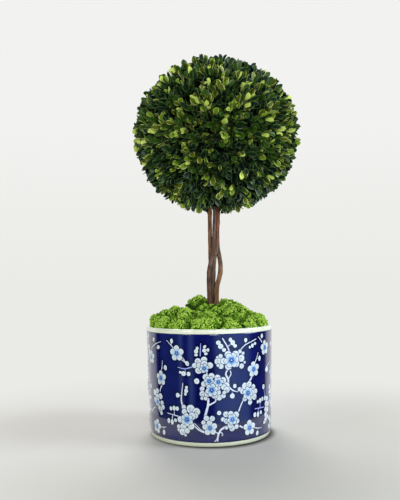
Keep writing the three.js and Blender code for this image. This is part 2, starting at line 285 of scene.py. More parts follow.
def grey(value):
    return (value, value, value, 1)


def feed(tree, node, inputs):
    """Join each of the node's inputs to another node's socket, or set it to a value."""
    for name, value in inputs.items():
        if isinstance(value, bpy.types.NodeSocket):
            tree.links.new(value, node.inputs[name])
        else:
            node.inputs[name].default_value = value


def add_node(tree, kind, inputs=None, **settings):
    """A shader node with its settings made and its inputs fed."""
    made = tree.nodes.new("ShaderNode" + kind)
    for name, value in settings.items():
        setattr(made, name, value)
    feed(tree, made, inputs or {})
    return made


def add_ramp(tree, share, stops):
    """Colours along a share from 0 to 1: stops are (place, colour)."""
    ramp = add_node(tree, "ValToRGB", {"Fac": share})
    elements = ramp.color_ramp.elements
    while len(elements) < len(stops):
        elements.new(1)
    for element, (place, colour) in zip(elements, stops):
        element.position = place
        element.color = colour
    return ramp.outputs["Color"]


def add_range(tree, value, start, end, low=0.0, high=1.0, smooth=False):
    """The value on its way from start to end, told from low to high and held at both."""
    made = add_node(
        tree,
        "MapRange",
        {"Value": value, "From Min": start, "From Max": end, "To Min": low, "To Max": high},
        interpolation_type="SMOOTHSTEP" if smooth else "LINEAR",
    )
    return made.outputs["Result"]


def add_mix(tree, share, first, second, blend="MIX"):
    """The first colour where the share is 0, and the second, or its blend with the first, where it is 1."""
    inputs = {"Factor": share, 6: first, 7: second}
    return add_node(tree, "Mix", inputs, data_type="RGBA", blend_type=blend).outputs[2]


def own_place(tree):
    return add_node(tree, "TexCoord").outputs["Object"]


def own_height(tree):
    return add_node(tree, "SeparateXYZ", {"Vector": own_place(tree)}).outputs["Z"]


def add_noise(tree, scale, detail=3, roughness=0.55, stretch=(1, 1, 1)):
    """Noise over the object's own space, with its scale in waves a metre."""
    mapping = add_node(tree, "Mapping", {"Vector": own_place(tree), "Scale": stretch})
    inputs = {"Vector": mapping.outputs["Vector"], "Scale": scale, "Detail": detail, "Roughness": roughness}
    return add_node(tree, "TexNoise", inputs).outputs["Fac"]


def add_bump(tree, height, strength, distance):
    made = add_node(tree, "Bump", {"Height": height, "Strength": strength, "Distance": distance})
    return made.outputs["Normal"]


def new_material(name, **sockets):
    """A material, its node tree and its shader, with the shader's own sockets set."""
    made = bpy.data.materials.new(name)
    made.use_nodes = True
    shader = made.node_tree.nodes["Principled BSDF"]
    for socket, value in sockets.items():
        shader.inputs[socket.replace("_", " ")].default_value = value
    return made, made.node_tree, shader


def add_glaze_skin(tree, shader):
    """The glaze's skin, which is not quite even."""
    skin = add_bump(tree, add_noise(tree, GLAZE_WAVES, detail=1), *GLAZE_RELIEF)
    feed(tree, shader, {"Normal": skin, "Coat Normal": skin})


def glazed(name, tints, scale=60, foot_tint=None):
    """Glassy glaze over porcelain: its colour drifts a little, and can turn to another at the foot."""
    made, tree, shader = new_material(
        name, Roughness=0.12, Coat_Weight=1.0, Coat_Roughness=0.04, Coat_IOR=1.5, Specular_IOR_Level=0.5
    )
    colour = add_ramp(tree, add_noise(tree, scale), [(0.3, tints[0]), (0.7, tints[1])])
    if foot_tint:
        low = add_range(tree, own_height(tree), *FOOT_GLAZE, low=1, high=0)
        colour = add_mix(tree, low, colour, foot_tint)
    feed(tree, shader, {"Base Color": colour})
    add_glaze_skin(tree, shader)
    return made


def cobalt_glaze():
    """The blue ground: nearly black round each motif, where the brush went over it twice."""
    made, tree, shader = new_material(
        "cobalt_glaze", Roughness=0.14, Coat_Weight=1.0, Coat_Roughness=0.03, Coat_IOR=1.55
    )
    brushed = add_node(tree, "Attribute", attribute_name="brushed").outputs["Fac"]
    drift = add_ramp(tree, add_noise(tree, 35), [(0.3, srgb(2, 8, 80)), (0.7, srgb(5, 18, 98))])
    feed(tree, shader, {"Base Color": add_mix(tree, brushed, drift, srgb(0, 2, 50))})
    add_glaze_skin(tree, shader)
    return made


def bark_material(name, low_tint, high_tint):
    """Thin bark with dark streaks along the stem and pale worn ridges, turning to another tint upwards."""
    made, tree, shader = new_material(name, Roughness=0.68, Specular_IOR_Level=0.35)
    streaks = add_noise(tree, 480, detail=5, roughness=0.65, stretch=(1, 1, 0.14))
    inputs = {0: add_noise(tree, 45), 1: BARK_WANDER, 2: own_height(tree)}
    wander = add_node(tree, "Math", inputs, operation="MULTIPLY_ADD").outputs[0]
    tint = add_mix(tree, add_range(tree, wander, *BARK_CHANGE), low_tint, high_tint)
    stops = [
        (0.32, srgb(66, 56, 50)),
        (0.45, srgb(156, 146, 138)),
        (0.58, srgb(222, 216, 210)),
        (0.72, srgb(255, 255, 252)),
    ]
    shaded = add_mix(tree, 1.0, tint, add_ramp(tree, streaks, stops), blend="MULTIPLY")
    feed(tree, shader, {"Base Color": shaded, "Normal": add_bump(tree, streaks, 0.6, 0.0008)})
    return made


def leaf_material(name, colour):
    """One tint of leaf, plain in colour, with a fine leathery skin that breaks up its shine."""
    made, tree, shader = new_material(name, Base_Color=colour, Specular_IOR_Level=0.42)
    skin = add_noise(tree, 700, detail=2)
    rough = add_range(tree, skin, 0.3, 0.7, *LEAF_ROUGHNESS)
    feed(tree, shader, {"Roughness": rough, "Normal": add_bump(tree, skin, 0.25, 0.0005)})
    return made


def grainy_material(name, stops, grain, relief, **sockets):
    """A dull material whose grain runs through the stops' colours and stands up a little.

    grain is the noise's scale, detail and roughness, and relief the strength and distance of its bump.
    """
    made, tree, shader = new_material(name, **sockets)
    tone = add_noise(tree, *grain)
    feed(tree, shader, {"Base Color": add_ramp(tree, tone, stops), "Normal": add_bump(tree, tone, *relief)})
    return made


def twig_material():
    """Pale brown-green twigs inside the ball."""
    stops = [(0.3, srgb(70, 62, 38)), (0.7, srgb(128, 122, 84))]
    return grainy_material(
        "twig_bark", stops, (300, 3, 0.55), (0.4, 0.0004), Roughness=0.7, Specular_IOR_Level=0.3
    )


def moss_material(name, dark, light):
    """Dry curled moss of one tint, mottled from dark to light."""
    stops = [(0.38, dark), (0.6, light)]
    return grainy_material(name, stops, (380, 4, 0.6), (0.8, 0.001), Roughness=0.85, Specular_IOR_Level=0.2)


def core_shade_material():
    """The leaves deep inside the ball, painted dark as the shade there."""
    stops = [(0.35, srgb(4, 10, 14)), (0.7, srgb(18, 32, 28))]
    return grainy_material(
        "inner_foliage_shade", stops, (160, 4, 0.55), (1.0, 0.003), Roughness=0.8, Specular_IOR_Level=0.15
    )


def foam_material():
    """Green planting foam, hidden under the moss."""
    stops = [(0.3, srgb(46, 52, 30)), (0.7, srgb(84, 92, 52))]
    return grainy_material(
        "planting_foam", stops, (900, 4, 0.55), (0.7, 0.0008), Roughness=0.95, Specular_IOR_Level=0.1
    )


# ---------------------------------------------------------------- pot

POT_SIDES = 192
LIP_STEPS = 10
SHOULDER_TOP = 16
SHOULDER_DROP = 1.3
SHOULDER_BEND = 2.5
FOOT_SEAM = 0.4
INSIDE_ROUND = 5
BODY_MIDDLE = 60
BODY_UPPER = 110
# The foot's outside: how far in from its radius, and how high.
FOOT_EDGE = [(2.4, 0), (1.2, 0.25), (0.35, 0.8), (0, 1.6), (-0.1, 5.4)]


def wall_radius(height):
    """The outside of the wall, which rounds in a little over the foot."""
    straight = lerp(WALL_FOOT_RADIUS, RIM_RADIUS, (height - FOOT_HEIGHT) / (POT_HEIGHT - FOOT_HEIGHT))
    below = np.clip((SHOULDER_TOP - height) / (SHOULDER_TOP - FOOT_HEIGHT), 0, 1)
    return straight - SHOULDER_DROP * below**SHOULDER_BEND


def pot_profile():
    """From the middle of the underside out, up the wall, over the lip, and down the inside to its floor."""
    lip = WALL_THICKNESS / 2
    lip_height = POT_HEIGHT - lip
    lip_middle = RIM_RADIUS - lip
    wall_start = FOOT_HEIGHT + FOOT_SEAM
    inside = WALL_FOOT_RADIUS - WALL_THICKNESS
    profile = [(0, 0)] + [(FOOT_RADIUS - inset, height) for inset, height in FOOT_EDGE]
    profile.append((wall_radius(wall_start) - 0.25, FOOT_HEIGHT))
    heights = [wall_start, 8, 10, 13, SHOULDER_TOP, BODY_MIDDLE, BODY_UPPER, lip_height]
    profile += [(wall_radius(height), height) for height in heights]
    for angle in np.linspace(0, np.pi, LIP_STEPS + 1)[1:]:
        profile.append((lip_middle + lip * math.cos(angle), lip_height + lip * math.sin(angle)))
    profile.append((wall_radius(BODY_MIDDLE) - WALL_THICKNESS, BODY_MIDDLE))
    profile.append((inside, FLOOR_THICKNESS + INSIDE_ROUND))
    profile.append((inside - INSIDE_ROUND, FLOOR_THICKNESS))
    return profile + [(0, FLOOR_THICKNESS)]


def pot_body():
    bag = Bag()
    turned(bag, pot_profile(), POT_SIDES)
    tints = [srgb(224, 233, 210), srgb(238, 244, 226)]
    white = glazed("white_glaze", tints, foot_tint=srgb(216, 222, 198))
    make_piece("pot_porcelain", bag, white, ["pot"])


def on_wall(s, z, proud):
    """Places on the wall: s runs round the pot from its front, to the right, at a radius of 100."""
    radius = wall_radius(z) + proud
    return np.stack([radius * np.sin(s / 100), -radius * np.cos(s / 100), z + 0 * s], -1)


# ---------------------------------------------------------------- pattern on the pot

# Heights over the wall: of a branch, of the lowest motif, from one motif to the next one over it, from layer
# to layer within a motif, and how deep each layer's edge is sunk.
BRANCH_PROUD = 0.05
MOTIF_PROUD = 0.08
MOTIF_STEP = 0.05
LAYER = 0.012
SUNK = 0.25

PETAL_FULLNESS = 1.22
PETAL_LINE = 0.78
CREAM_SHARE = 0.62
CURL_TURNS = np.linspace(0.2, 4.2, 9)
CURL_WIDTH = 0.34
BUD_SIDES = 12
# Kinds of flower: petals, then their distance, their radius and the heart's, as shares of its reach.
BLOSSOM = (5, 0.62, 0.36, 0.5)
ROSETTE = (6, 0.86, 0.5, 0.95)
ROSETTE_TURN = 0.1
# The heart's washes from below up: paint, share of its radius, waviness, turn of the waves, sides.
HEART = [
    ("pale_blue", 0.92, 0.09, 0, 20),
    ("light_blue", 0.72, 0.14, 1, 20),
    ("mid_blue", 0.52, 0.16, 2, 20),
    ("deep_blue", 0.31, 0.15, 3, 16),
]
HEART_LOBES = 5
DOT_SHARE = 0.13


class Pattern:
    """Blossom drawn on the wall: thin closed layers, each a little prouder than what it lies over."""

    def __init__(self):
        self.bags = {}
        self.placed = []
        self.marks = []
        self.shift = 0
        self.limit = 1000

    def begin(self, s, z, reach):
        """Where a motif goes in this panel and the height it lies at, or None past the panel's end."""
        if abs(s) > self.limit:
            return None
        s += self.shift
        under = [level for (a, b, r, level) in self.placed if math.hypot(a - s, b - z) < r + reach]
        level = max(under) + 1 if under else 0
        self.placed.append((s, z, reach, level))
        self.marks.append((s, z, reach))
        return s, MOTIF_PROUD + MOTIF_STEP * level

    def solid(self, paint, rings, proud):
        """rings: places (s, z) from the edge in, with one centre point last."""
        bag = self.bags.setdefault(paint, Bag())
        rows = [on_wall(*rings[0].T, -SUNK)] + [on_wall(*ring.T, proud) for ring in rings[:-1]]
        bag.add_rings(np.array(rows), [on_wall(*rings[-1], -SUNK), on_wall(*rings[-1], proud)])

    def disc(self, paint, s, z, radius, proud, wave=0.0, turn=0.0, sides=16):
        """A round patch of paint, or one with a wavy edge."""
        waves = HEART_LOBES * 2 * np.pi * np.arange(sides) / sides + turn
        edge = radius * (1 + wave * np.cos(waves))[:, None] * circle(sides)[:, :2]
        centre = np.array([s, z])
        self.solid(paint, [centre + edge, centre + 0.5 * edge, centre], proud)

    def stroke(self, paint, path, widths, proud):
        """A brush stroke along (s, z) places, with its half widths."""
        path = np.asarray(path, float)
        ways = unit(np.gradient(path, axis=0))
        aside = np.stack([-ways[:, 1], ways[:, 0]], -1) * np.asarray(widths)[:, None]
        left = path + aside
        right = path - aside
        corners = [(right, -SUNK), (right, proud), (left, proud), (left, -SUNK)]
        points = np.stack([on_wall(*side.T, height) for side, height in corners], 1)
        last = 4 * (len(path) - 1)
        bag = self.bags.setdefault(paint, Bag())
        bag.add(
            points.reshape(-1, 3),
            grid_faces(len(path), 4, True)[:, ::-1],
            [[0, 1, 2, 3]],
            [[last + 3, last + 2, last + 1, last]],
        )

    def branch(self, points, start, end, paint="branch"):
        """A branch through (s, z) points, with its width at start and end."""
        if abs(points[len(points) // 2][0]) > self.limit:
            return
        path = smooth_curve([(s + self.shift, z) for s, z in points], 5 * len(points))
        widths = np.linspace(start, end, len(path)) / 2
        self.marks += [(s, z, width) for (s, z), width in zip(path, widths)]
        self.stroke(paint, path, widths, BRANCH_PROUD)

    def petal(self, s, z, radius, curl=None):
        """A round petal: blue outline, white edge, creamy middle, and sometimes a curl drawn in it."""
        radius *= PETAL_FULLNESS
        place = self.begin(s, z, radius)
        if place is None:
            return
        s, base = place
        self.disc("outline", s, z, radius, base)
        self.disc("white", s, z, radius - PETAL_LINE, base + LAYER)
        self.disc("cream", s, z - 0.08 * radius, radius * CREAM_SHARE, base + 2 * LAYER)
        if curl is not None:
            arm = radius * (0.12 + 0.105 * CURL_TURNS)
            path = np.stack([s + arm * np.cos(CURL_TURNS + curl), z + arm * np.sin(CURL_TURNS + curl)], -1)
            self.stroke("shade", path, np.full(len(path), CURL_WIDTH), base + 3 * LAYER)

    def bud(self, s, z, wide, tall, turn=0.0):
        """An oval bud, turned by degrees."""
        place = self.begin(s, z, max(wide, tall))
        if place is None:
            return
        s, base = place
        c, n = math.cos(math.radians(turn)), math.sin(math.radians(turn))
        edge = circle(BUD_SIDES)[:, :2] * [wide, tall] @ np.array([[c, n], [-n, c]])
        centre = np.array([s, z])
        self.solid("white", [centre + edge, centre + 0.5 * edge, centre], base)
        self.solid("cream", [centre + 0.45 * edge, centre + 0.2 * edge, centre], base + LAYER)

    def heart(self, s, z, radius):
        """The middle of a blossom: pale blue washing in to deep blue, with a light dot."""
        place = self.begin(s, z, radius)
        if place is None:
            return
        s, base = place
        for number, (paint, share, wave, turn, sides) in enumerate(HEART):
            self.disc(paint, s, z, radius * share, base + number * LAYER, wave, turn, sides)
        self.disc("dot", s, z + 0.02 * radius, radius * DOT_SHARE, base + len(HEART) * LAYER, sides=10)

    def flower(self, s, z, reach, turn, kind):
        """A ring of petals round a heart, turned by radians."""
        count, apart, petal, heart = kind
        for i in range(count):
            angle = turn + 2 * math.pi * i / count
            petal_s = s + apart * reach * math.cos(angle)
            self.petal(petal_s, z + apart * reach * math.sin(angle), petal * reach)
        self.heart(s, z, heart * reach)


# One panel of the pattern, laid out one by one: s from the middle of the panel, then height, then size.
BLOSSOMS = [
    (-50, 136.4, 11.8, 92), (-83, 97, 11.5, 92), (71.5, 109.5, 11.8, 96), (99.5, 139.5, 11.5, 95),
    (63, 23.7, 11.5, 92), (-98, 22, 11, 80), (-1, 28.5, 11.2, 95), (-110, 126, 10.5, 90),
]
BRANCHES = [
    ([(-3, 72), (-3, 63), (-6.5, 50), (-8.5, 43)], 3.0, 3.6),
    ([(8, 73), (8, 67.5), (-3, 61)], 1.6, 2.4),
    ([(26, 112), (23.5, 106), (27, 99), (27.3, 92), (29, 84)], 2.2, 3.2),
    ([(30.5, 111), (31.5, 106), (27.5, 99)], 1.6, 1.6),
    ([(29, 86), (34, 82), (42, 79)], 2.6, 1.0),
    ([(31, 135), (26.5, 146), (19, 159)], 2.2, 1.3),
    ([(26.5, 146), (31, 149)], 1.2, 0.9),
    ([(46.5, 140), (55, 147), (66, 151), (77, 154.5)], 1.6, 1.3),
    ([(-55, 143), (-60, 148), (-68.5, 155)], 1.5, 0.9),
    ([(-60, 148), (-59, 151)], 1.0, 0.8),
    ([(-45, 130), (-40, 126), (-35, 122)], 1.6, 1.2),
    ([(-42, 132), (-38, 127), (-35, 123)], 1.2, 1.0),
    ([(-7.5, 114), (-3, 106)], 2.0, 1.6),
    ([(-82.7, 106), (-80, 114), (-78.5, 124)], 1.3, 0.9),
    ([(-81.5, 86), (-85, 81), (-87, 76)], 2.4, 2.0),
    ([(68, 98), (65, 95), (62.4, 91)], 2.2, 3.0),
    ([(74, 119), (78.5, 126), (81.5, 134)], 1.6, 0.9),
    ([(91.5, 148), (86, 154), (81.5, 157.5)], 1.4, 0.9),
    ([(-81, 152), (-97, 147), (-106, 142), (-109, 138)], 0.9, 1.6),
    ([(51, 65), (47, 58), (43.5, 50)], 1.6, 2.2),
    ([(-42.5, 59), (-44.3, 68.5), (-43.4, 77), (-41, 93)], 2.6, 1.0),
    ([(-44, 74), (-47.5, 74.3)], 1.0, 0.8),
    ([(-47, 43), (-58, 44.5), (-71.5, 46)], 1.7, 0.9),
    ([(-57, 44.5), (-57.3, 50)], 1.3, 1.0),
    ([(-60.5, 44), (-61.5, 38)], 1.3, 1.0),
    ([(-26, 33), (-18.5, 26), (-9, 21.5)], 1.6, 2.0),
    ([(-24, 35), (-16, 27), (-9, 23)], 1.0, 1.0),
    ([(24, 30), (15.6, 25.5), (11.5, 18.7), (10, 8.5)], 3.0, 2.2),
    ([(10.5, 15), (7.5, 10), (5, 8.5)], 1.6, 1.0),
    ([(11, 20), (7, 23), (4, 24)], 1.6, 1.2),
    ([(13, 22), (17, 20.5), (17.8, 17.5), (16, 16.5)], 1.4, 1.0),
    ([(73, 22), (82, 20), (91, 19)], 1.5, 0.9),
    ([(45, 29), (50, 26), (54, 25)], 2.6, 1.4),
    ([(-103, 50), (-110, 46), (-117, 41)], 1.6, 1.2),
    ([(-89, 23), (-81, 23), (-75, 24.5)], 1.4, 0.9),
    ([(104, 108), (112, 112), (120, 116)], 1.2, 1.2),
]
TWIGS = [
    ([(-12.5, 152), (-13, 143), (-13.5, 133)], 1.0, 1.6),
    ([(-49, 116), (-38, 114), (-26, 117)], 1.1, 1.8),
    ([(-37, 113), (-36, 109)], 1.1, 0.9),
    ([(74, 50), (84.5, 49.5), (98, 49)], 1.7, 1.5),
    ([(86.5, 50), (87, 57)], 1.2, 1.0),
    ([(83, 49), (82, 44)], 1.2, 1.0),
    ([(97, 80), (99, 71), (102, 62)], 1.3, 1.1),
    ([(79, 125), (83, 124.5)], 0.9, 0.8),
    ([(56, 149), (56.3, 152)], 0.9, 0.8),
    ([(-79, 112), (-75, 113)], 0.9, 0.8),
    ([(81, 19.5), (80.5, 15)], 1.0, 0.9),
    ([(-80, 23), (-80, 18)], 1.0, 0.9),
    ([(33, 80), (33.5, 76)], 0.9, 0.8),
]
BUDS = [
    (-58.7, 154.3, 2.6, 3.5, 8), (-33.4, 122, 2.8, 3.6, 20), (-17.8, 144.4, 2.1, 2.6),
    (-19.4, 140, 3.0, 3.2), (-19.6, 134.8, 2.6, 1.9), (-6.8, 147, 2.6, 2.0, 40), (-7.4, 141.4, 2.9, 3.0),
    (-5.2, 136.6, 2.6, 2.0, 10), (-2.2, 142, 2.0, 2.4), (-39.5, 107, 3.8, 3.6), (-45, 108.6, 2.2, 1.9),
    (-31.5, 106.8, 2.9, 3.2), (-72.4, 113.5, 3.0, 4.0, 10), (-100.6, 153.8, 2.4, 3.2),
    (-88, 143.2, 4.0, 3.0, 20), (13, 152.5, 3.4, 3.2), (16.4, 147, 3.9, 3.8), (21.3, 141.6, 3.0, 2.8),
    (31.2, 156, 2.7, 3.0), (34.7, 151.6, 3.6, 3.8), (38.3, 146.8, 2.9, 2.6), (56.3, 154.3, 2.8, 3.2),
    (63.8, 143.2, 2.0, 2.2), (68.9, 145.2, 2.6, 3.2), (74.4, 147.9, 2.4, 2.2), (84.8, 124.5, 2.8, 4.0, -8),
    (91, 158, 2.8, 3.6), (106.5, 105, 5.0, 4.0), (96, 80, 3.2, 3.8), (37.4, 88, 2.7, 3.2),
    (33.4, 73.6, 3.6, 3.8), (-19.4, 96.5, 4.0, 4.2), (13, 50, 3.2, 3.2, 30), (-50.3, 74.4, 3.3, 3.4),
    (-35.3, 86.8, 2.2, 2.5), (-36, 81.8, 3.0, 3.1), (-37.2, 77.2, 2.0, 2.6), (-63.4, 53.6, 2.6, 3.0),
    (-57.3, 54.6, 2.9, 3.6), (-51.6, 54.6, 2.6, 3.2), (-68.4, 34.9, 2.9, 3.8), (-61.6, 33.8, 2.6, 4.0),
    (-55.4, 37, 2.8, 2.4, -20), (-80, 15.6, 2.9, 4.0, -14), (81, 59.6, 2.4, 2.6), (86.8, 60.6, 3.2, 3.6),
    (92.8, 62, 2.4, 3.2), (74.2, 41.2, 3.0, 3.8), (81.4, 40.6, 2.8, 4.2), (88.7, 42.6, 2.8, 2.8),
    (80, 12.8, 2.9, 3.6),
]
CLUSTERS = [
    {
        "petals": [
            (-17, 125.5, 4.4, 0.5), (-22.2, 119.4, 3.6), (-8, 128, 4.2), (-16.2, 112.4, 4.6, 2.0),
            (0.4, 119.6, 4.3), (-15.5, 119.5, 3.6), (-7.8, 121.6, 4.6),
        ],
        "hearts": [(-8, 115.5, 5.2)],
    },
    {
        "petals": [
            (12.5, 125.2, 4.8, 1.0), (16, 132.6, 3.2), (11.5, 131, 2.2), (16.6, 117.6, 3.6),
            (12.2, 119.4, 2.4), (20.6, 125.4, 4.3), (46.2, 138.2, 3.0), (51.5, 135, 2.6),
            (48.4, 128, 4.8, 0.2), (49, 116.4, 3.7), (54, 121.5, 2.2), (27.3, 134.6, 4.8, 1.6),
            (38.8, 134, 5.2, 2.6), (27.7, 117.4, 4.8), (39.8, 120.6, 4.6, 0.8),
        ],
        "hearts": [(32.4, 126, 8.2)],
    },
    {
        "petals": [
            (-6, 102.6, 4.2), (2.4, 104, 4.2), (11.2, 101.2, 4.3), (19.4, 97.4, 4.4, 0.6), (24.6, 90, 4.2),
            (20.2, 87.6, 4.0), (24.8, 83.4, 4.2, 2.0), (-11.6, 85.6, 3.4), (-8.6, 92.6, 4.0),
            (-11.3, 78.2, 4.0, 0.6), (-12, 71.6, 2.5), (-6.6, 71.6, 3.0), (13.2, 72.4, 4.0),
            (19.6, 74.8, 3.4), (21, 79.4, 2.8), (-3.8, 78.6, 4.4, 2.4), (6.6, 75.6, 4.2, 1.2),
            (12.2, 80, 3.6), (11.6, 86.4, 3.4), (4, 90.6, 3.6),
        ],
        "hearts": [(-1.2, 96.6, 5.6), (12.3, 95, 5.4), (2.5, 83.6, 6.8)],
    },
    {
        "petals": [
            (45.3, 82.6, 3.2), (51.2, 79.4, 4.6), (54.4, 86.6, 4.6), (62.4, 88.4, 4.2, 0.5),
            (70.6, 83.4, 3.8, 1.4), (75.2, 76.4, 3.8), (72.6, 68.4, 4.4, 2.2), (64.2, 61.4, 3.8),
            (54.6, 68, 4.0, 0.8), (63.4, 68, 4.0), (68, 75.4, 4.0),
        ],
        "hearts": [(59.6, 75.6, 6.8)],
    },
    {
        "petals": [
            (-40.4, 57.8, 3.4), (-29.6, 55.6, 5.6, 1.2), (-39.6, 51, 4.0), (-20.6, 52, 5.0, 0.4),
            (-22.6, 46.2, 4.0), (-27.6, 45.2, 5.0, 1.8), (-47, 39.2, 4.4), (-41.8, 29.2, 4.6),
            (-49.8, 28.2, 3.2), (-49.6, 23.6, 2.6), (-43.6, 21.4, 4.6, 2.0), (-35.6, 23.6, 3.8),
            (-38.6, 16.8, 2.2), (-29.4, 31, 5.0),
        ],
        "hearts": [(-35.7, 39.6, 7.0)],
    },
    {
        "petals": [
            (23.2, 47.6, 4.0, 2.4), (30.6, 47.6, 4.0), (39, 45.6, 4.4), (18.6, 40.4, 3.2),
            (24, 37.6, 3.8, 0.5), (40.4, 36.4, 3.8), (39.6, 28.4, 3.4), (24, 27.8, 2.6),
            (32.6, 26.4, 4.0, 1.4), (30, 31.4, 4.2),
        ],
        "hearts": [(33, 39.4, 6.0)],
    },
    {
        "petals": [(-6, 42.6, 3.8), (2.6, 42.2, 3.8), (-10.6, 36.4, 3.2)],
        "hearts": [],
    },
    {
        "petals": [
            (-102, 72.6, 4.4), (-94, 76, 3.8, 1.0), (-86, 69, 4.4), (-94, 67, 4.2), (-82.6, 59, 3.8),
            (-80.4, 53.4, 3.6), (-86.6, 49, 4.4, 0.6), (-84.6, 44, 3.2), (-90, 52, 3.8), (-101, 62, 3.8),
        ],
        "hearts": [(-94, 59.5, 5.0)],
    },
    {
        "petals": [
            (101, 62, 3.6), (108, 60, 3.8), (105, 53, 4.4, 0.8), (112, 51, 3.8), (103, 45, 4.0),
            (109.5, 43, 4.2), (103.5, 36.5, 4.4), (109, 32.5, 3.6), (102, 28, 4.2, 1.6), (98, 25.5, 2.8),
        ],
        "hearts": [],
    },
]
# Each panel's shift round the pot, and how far from its middle it is drawn.
PANEL_SHIFTS = [(0, 1000), (214.2, 97), (-214.2, 97)]

PAINTS = {
    "outline": [srgb(52, 68, 126), srgb(34, 48, 108)],
    "white": [srgb(214, 232, 250), srgb(228, 242, 255)],
    "cream": [srgb(220, 230, 226), srgb(198, 212, 222)],
    "shade": [srgb(96, 116, 140), srgb(124, 144, 160)],
    "pale_blue": [srgb(158, 194, 232), srgb(182, 212, 240)],
    "light_blue": [srgb(104, 154, 214), srgb(124, 172, 224)],
    "mid_blue": [srgb(58, 104, 186), srgb(74, 122, 200)],
    "deep_blue": [srgb(14, 34, 112), srgb(24, 48, 132)],
    "dot": [srgb(220, 240, 255), srgb(234, 248, 255)],
    "branch": [srgb(206, 220, 252), srgb(230, 240, 255)],
    "twig": [srgb(140, 158, 244), srgb(170, 186, 248)],
}
PAINT_WAVES = 120

BLUE_LOW = 6.3
BLUE_HIGH = 165.2
BLUE_PROUD = 0.02
BLUE_SUNK = 0.4
BLUE_COLUMNS = 420
BLUE_ROWS = 110
HALO_WIDTH = 4.5
PLACES_AT_ONCE = 4000


def draw_panel(pattern, shift, limit):
    """The whole panel once, shifted round the pot, as far as the limit from its middle."""
    pattern.shift = shift
    pattern.limit = limit
    for points, start, end in BRANCHES:
        pattern.branch(points, start, end)
    for points, start, end in TWIGS:
        pattern.branch(points, start, end, "twig")
    for s, z, reach, turn in BLOSSOMS:
        pattern.flower(s, z, reach, math.radians(turn), BLOSSOM)
    for cluster in CLUSTERS:
        for petal in cluster["petals"]:
            pattern.petal(*petal)
        for s, z, reach in cluster["hearts"]:
            pattern.flower(s, z, reach, ROSETTE_TURN * s, ROSETTE)
    for bud in BUDS:
        pattern.bud(*bud)


def brushed_share(places, marks):
    """How far each place on the wall lies in the dark ground that is brushed round the motifs."""
    marks = np.array(marks)
    share = np.zeros(len(places))
    for first in range(0, len(places), PLACES_AT_ONCE):
        part = places[first : first + PLACES_AT_ONCE]
        gap_s = np.abs(part[:, None, 0] - marks[None, :, 0])
        gap_s = np.minimum(gap_s, 200 * np.pi - gap_s)
        apart = np.hypot(gap_s, part[:, None, 1] - marks[None, :, 1]) - marks[None, :, 2]
        share[first : first + PLACES_AT_ONCE] = np.clip(1 - apart.min(1) / HALO_WIDTH, 0, 1)
    return share * share * (3 - 2 * share)


def blue_ground(marks):
    """The blue ground of the wall, a thin closed sleeve with its own crisp edges."""
    heights = np.linspace(BLUE_LOW, BLUE_HIGH, BLUE_ROWS)
    around = 200 * np.pi * np.arange(BLUE_COLUMNS) / BLUE_COLUMNS
    s, z = np.meshgrid(around, heights)
    outer = on_wall(s.ravel(), z.ravel(), BLUE_PROUD).reshape(BLUE_ROWS, BLUE_COLUMNS, 3)
    low, high = [on_wall(s[i], z[i], -BLUE_SUNK)[None] for i in (0, -1)]
    rows = np.concatenate([low, outer, high])
    here = np.arange(BLUE_COLUMNS)
    after = (here + 1) % BLUE_COLUMNS
    last = (len(rows) - 1) * BLUE_COLUMNS
    closing = np.stack([here + last, after + last, after, here], -1)
    bag = Bag()
    bag.add(rows, grid_faces(len(rows), BLUE_COLUMNS, True), closing)
    piece = make_piece("pot_blue_ground", bag, cobalt_glaze())
    share = brushed_share(np.stack([s.ravel(), z.ravel()], -1), marks).reshape(BLUE_ROWS, BLUE_COLUMNS)
    share = np.concatenate([share[:1], share, share[-1:]])
    brushed = piece.data.attributes.new("brushed", "FLOAT", "POINT")
    brushed.data.foreach_set("value", share.astype(np.float32).ravel())


def build_pot():
    pot_body()
    pattern = Pattern()
    for shift, limit in PANEL_SHIFTS:
        draw_panel(pattern, shift, limit)
    blue_ground(pattern.marks)
    for paint, bag in pattern.bags.items():
        material = glazed(f"glaze_{paint}", PAINTS[paint], PAINT_WAVES)
        make_piece(f"pot_{paint}", bag, material, smooth=False)


# ---------------------------------------------------------------- stems

BARK_SIDES = 28
BARK_STEP = 1.1
# The bark's mean reach, as a share of the limb's radius, and the noise on it: its scale round the stem, its
# scale along it (over BARK_WAVES a millimetre), its shift from stem to stem, and its height.
BARK_SWELL = 1.1
BARK_WAVES = 0.012
RIDGES = (2.2, 3, 11, 0.10)
GROOVES = (5.0, 9, 7, 0.07)
KNOTS = (0.9, 6, 31, 0.5)
KNOT_LEAST = 0.25

BARK_TINTS = {
    "stem_left": (srgb(136, 102, 72), srgb(154, 108, 64)),
    "stem_front": (srgb(118, 84, 66), srgb(126, 106, 98)),
    "stem_middle": (srgb(132, 120, 110), srgb(158, 94, 64)),
    "stem_right": (srgb(150, 110, 70), srgb(114, 92, 80)),
}


def bark_noise(waves, side, height, number):
    round_stem, along_stem, shift, _ = waves
    along = height * BARK_WAVES * along_stem + shift * number
    return noise.noise(Vector((side[0] * round_stem, side[1] * round_stem, along)))


def bark_reach(side, height, number):
    """How far the bark stands out, as a share of the limb's radius: ridges, grooves and a few knots."""
    ridge = RIDGES[3] * bark_noise(RIDGES, side, height, number)
    groove = GROOVES[3] * bark_noise(GROOVES, side, height, number)
    knot = KNOTS[3] * max(0.0, bark_noise(KNOTS, side, height, number) - KNOT_LEAST)
    return BARK_SWELL + ridge + groove + knot


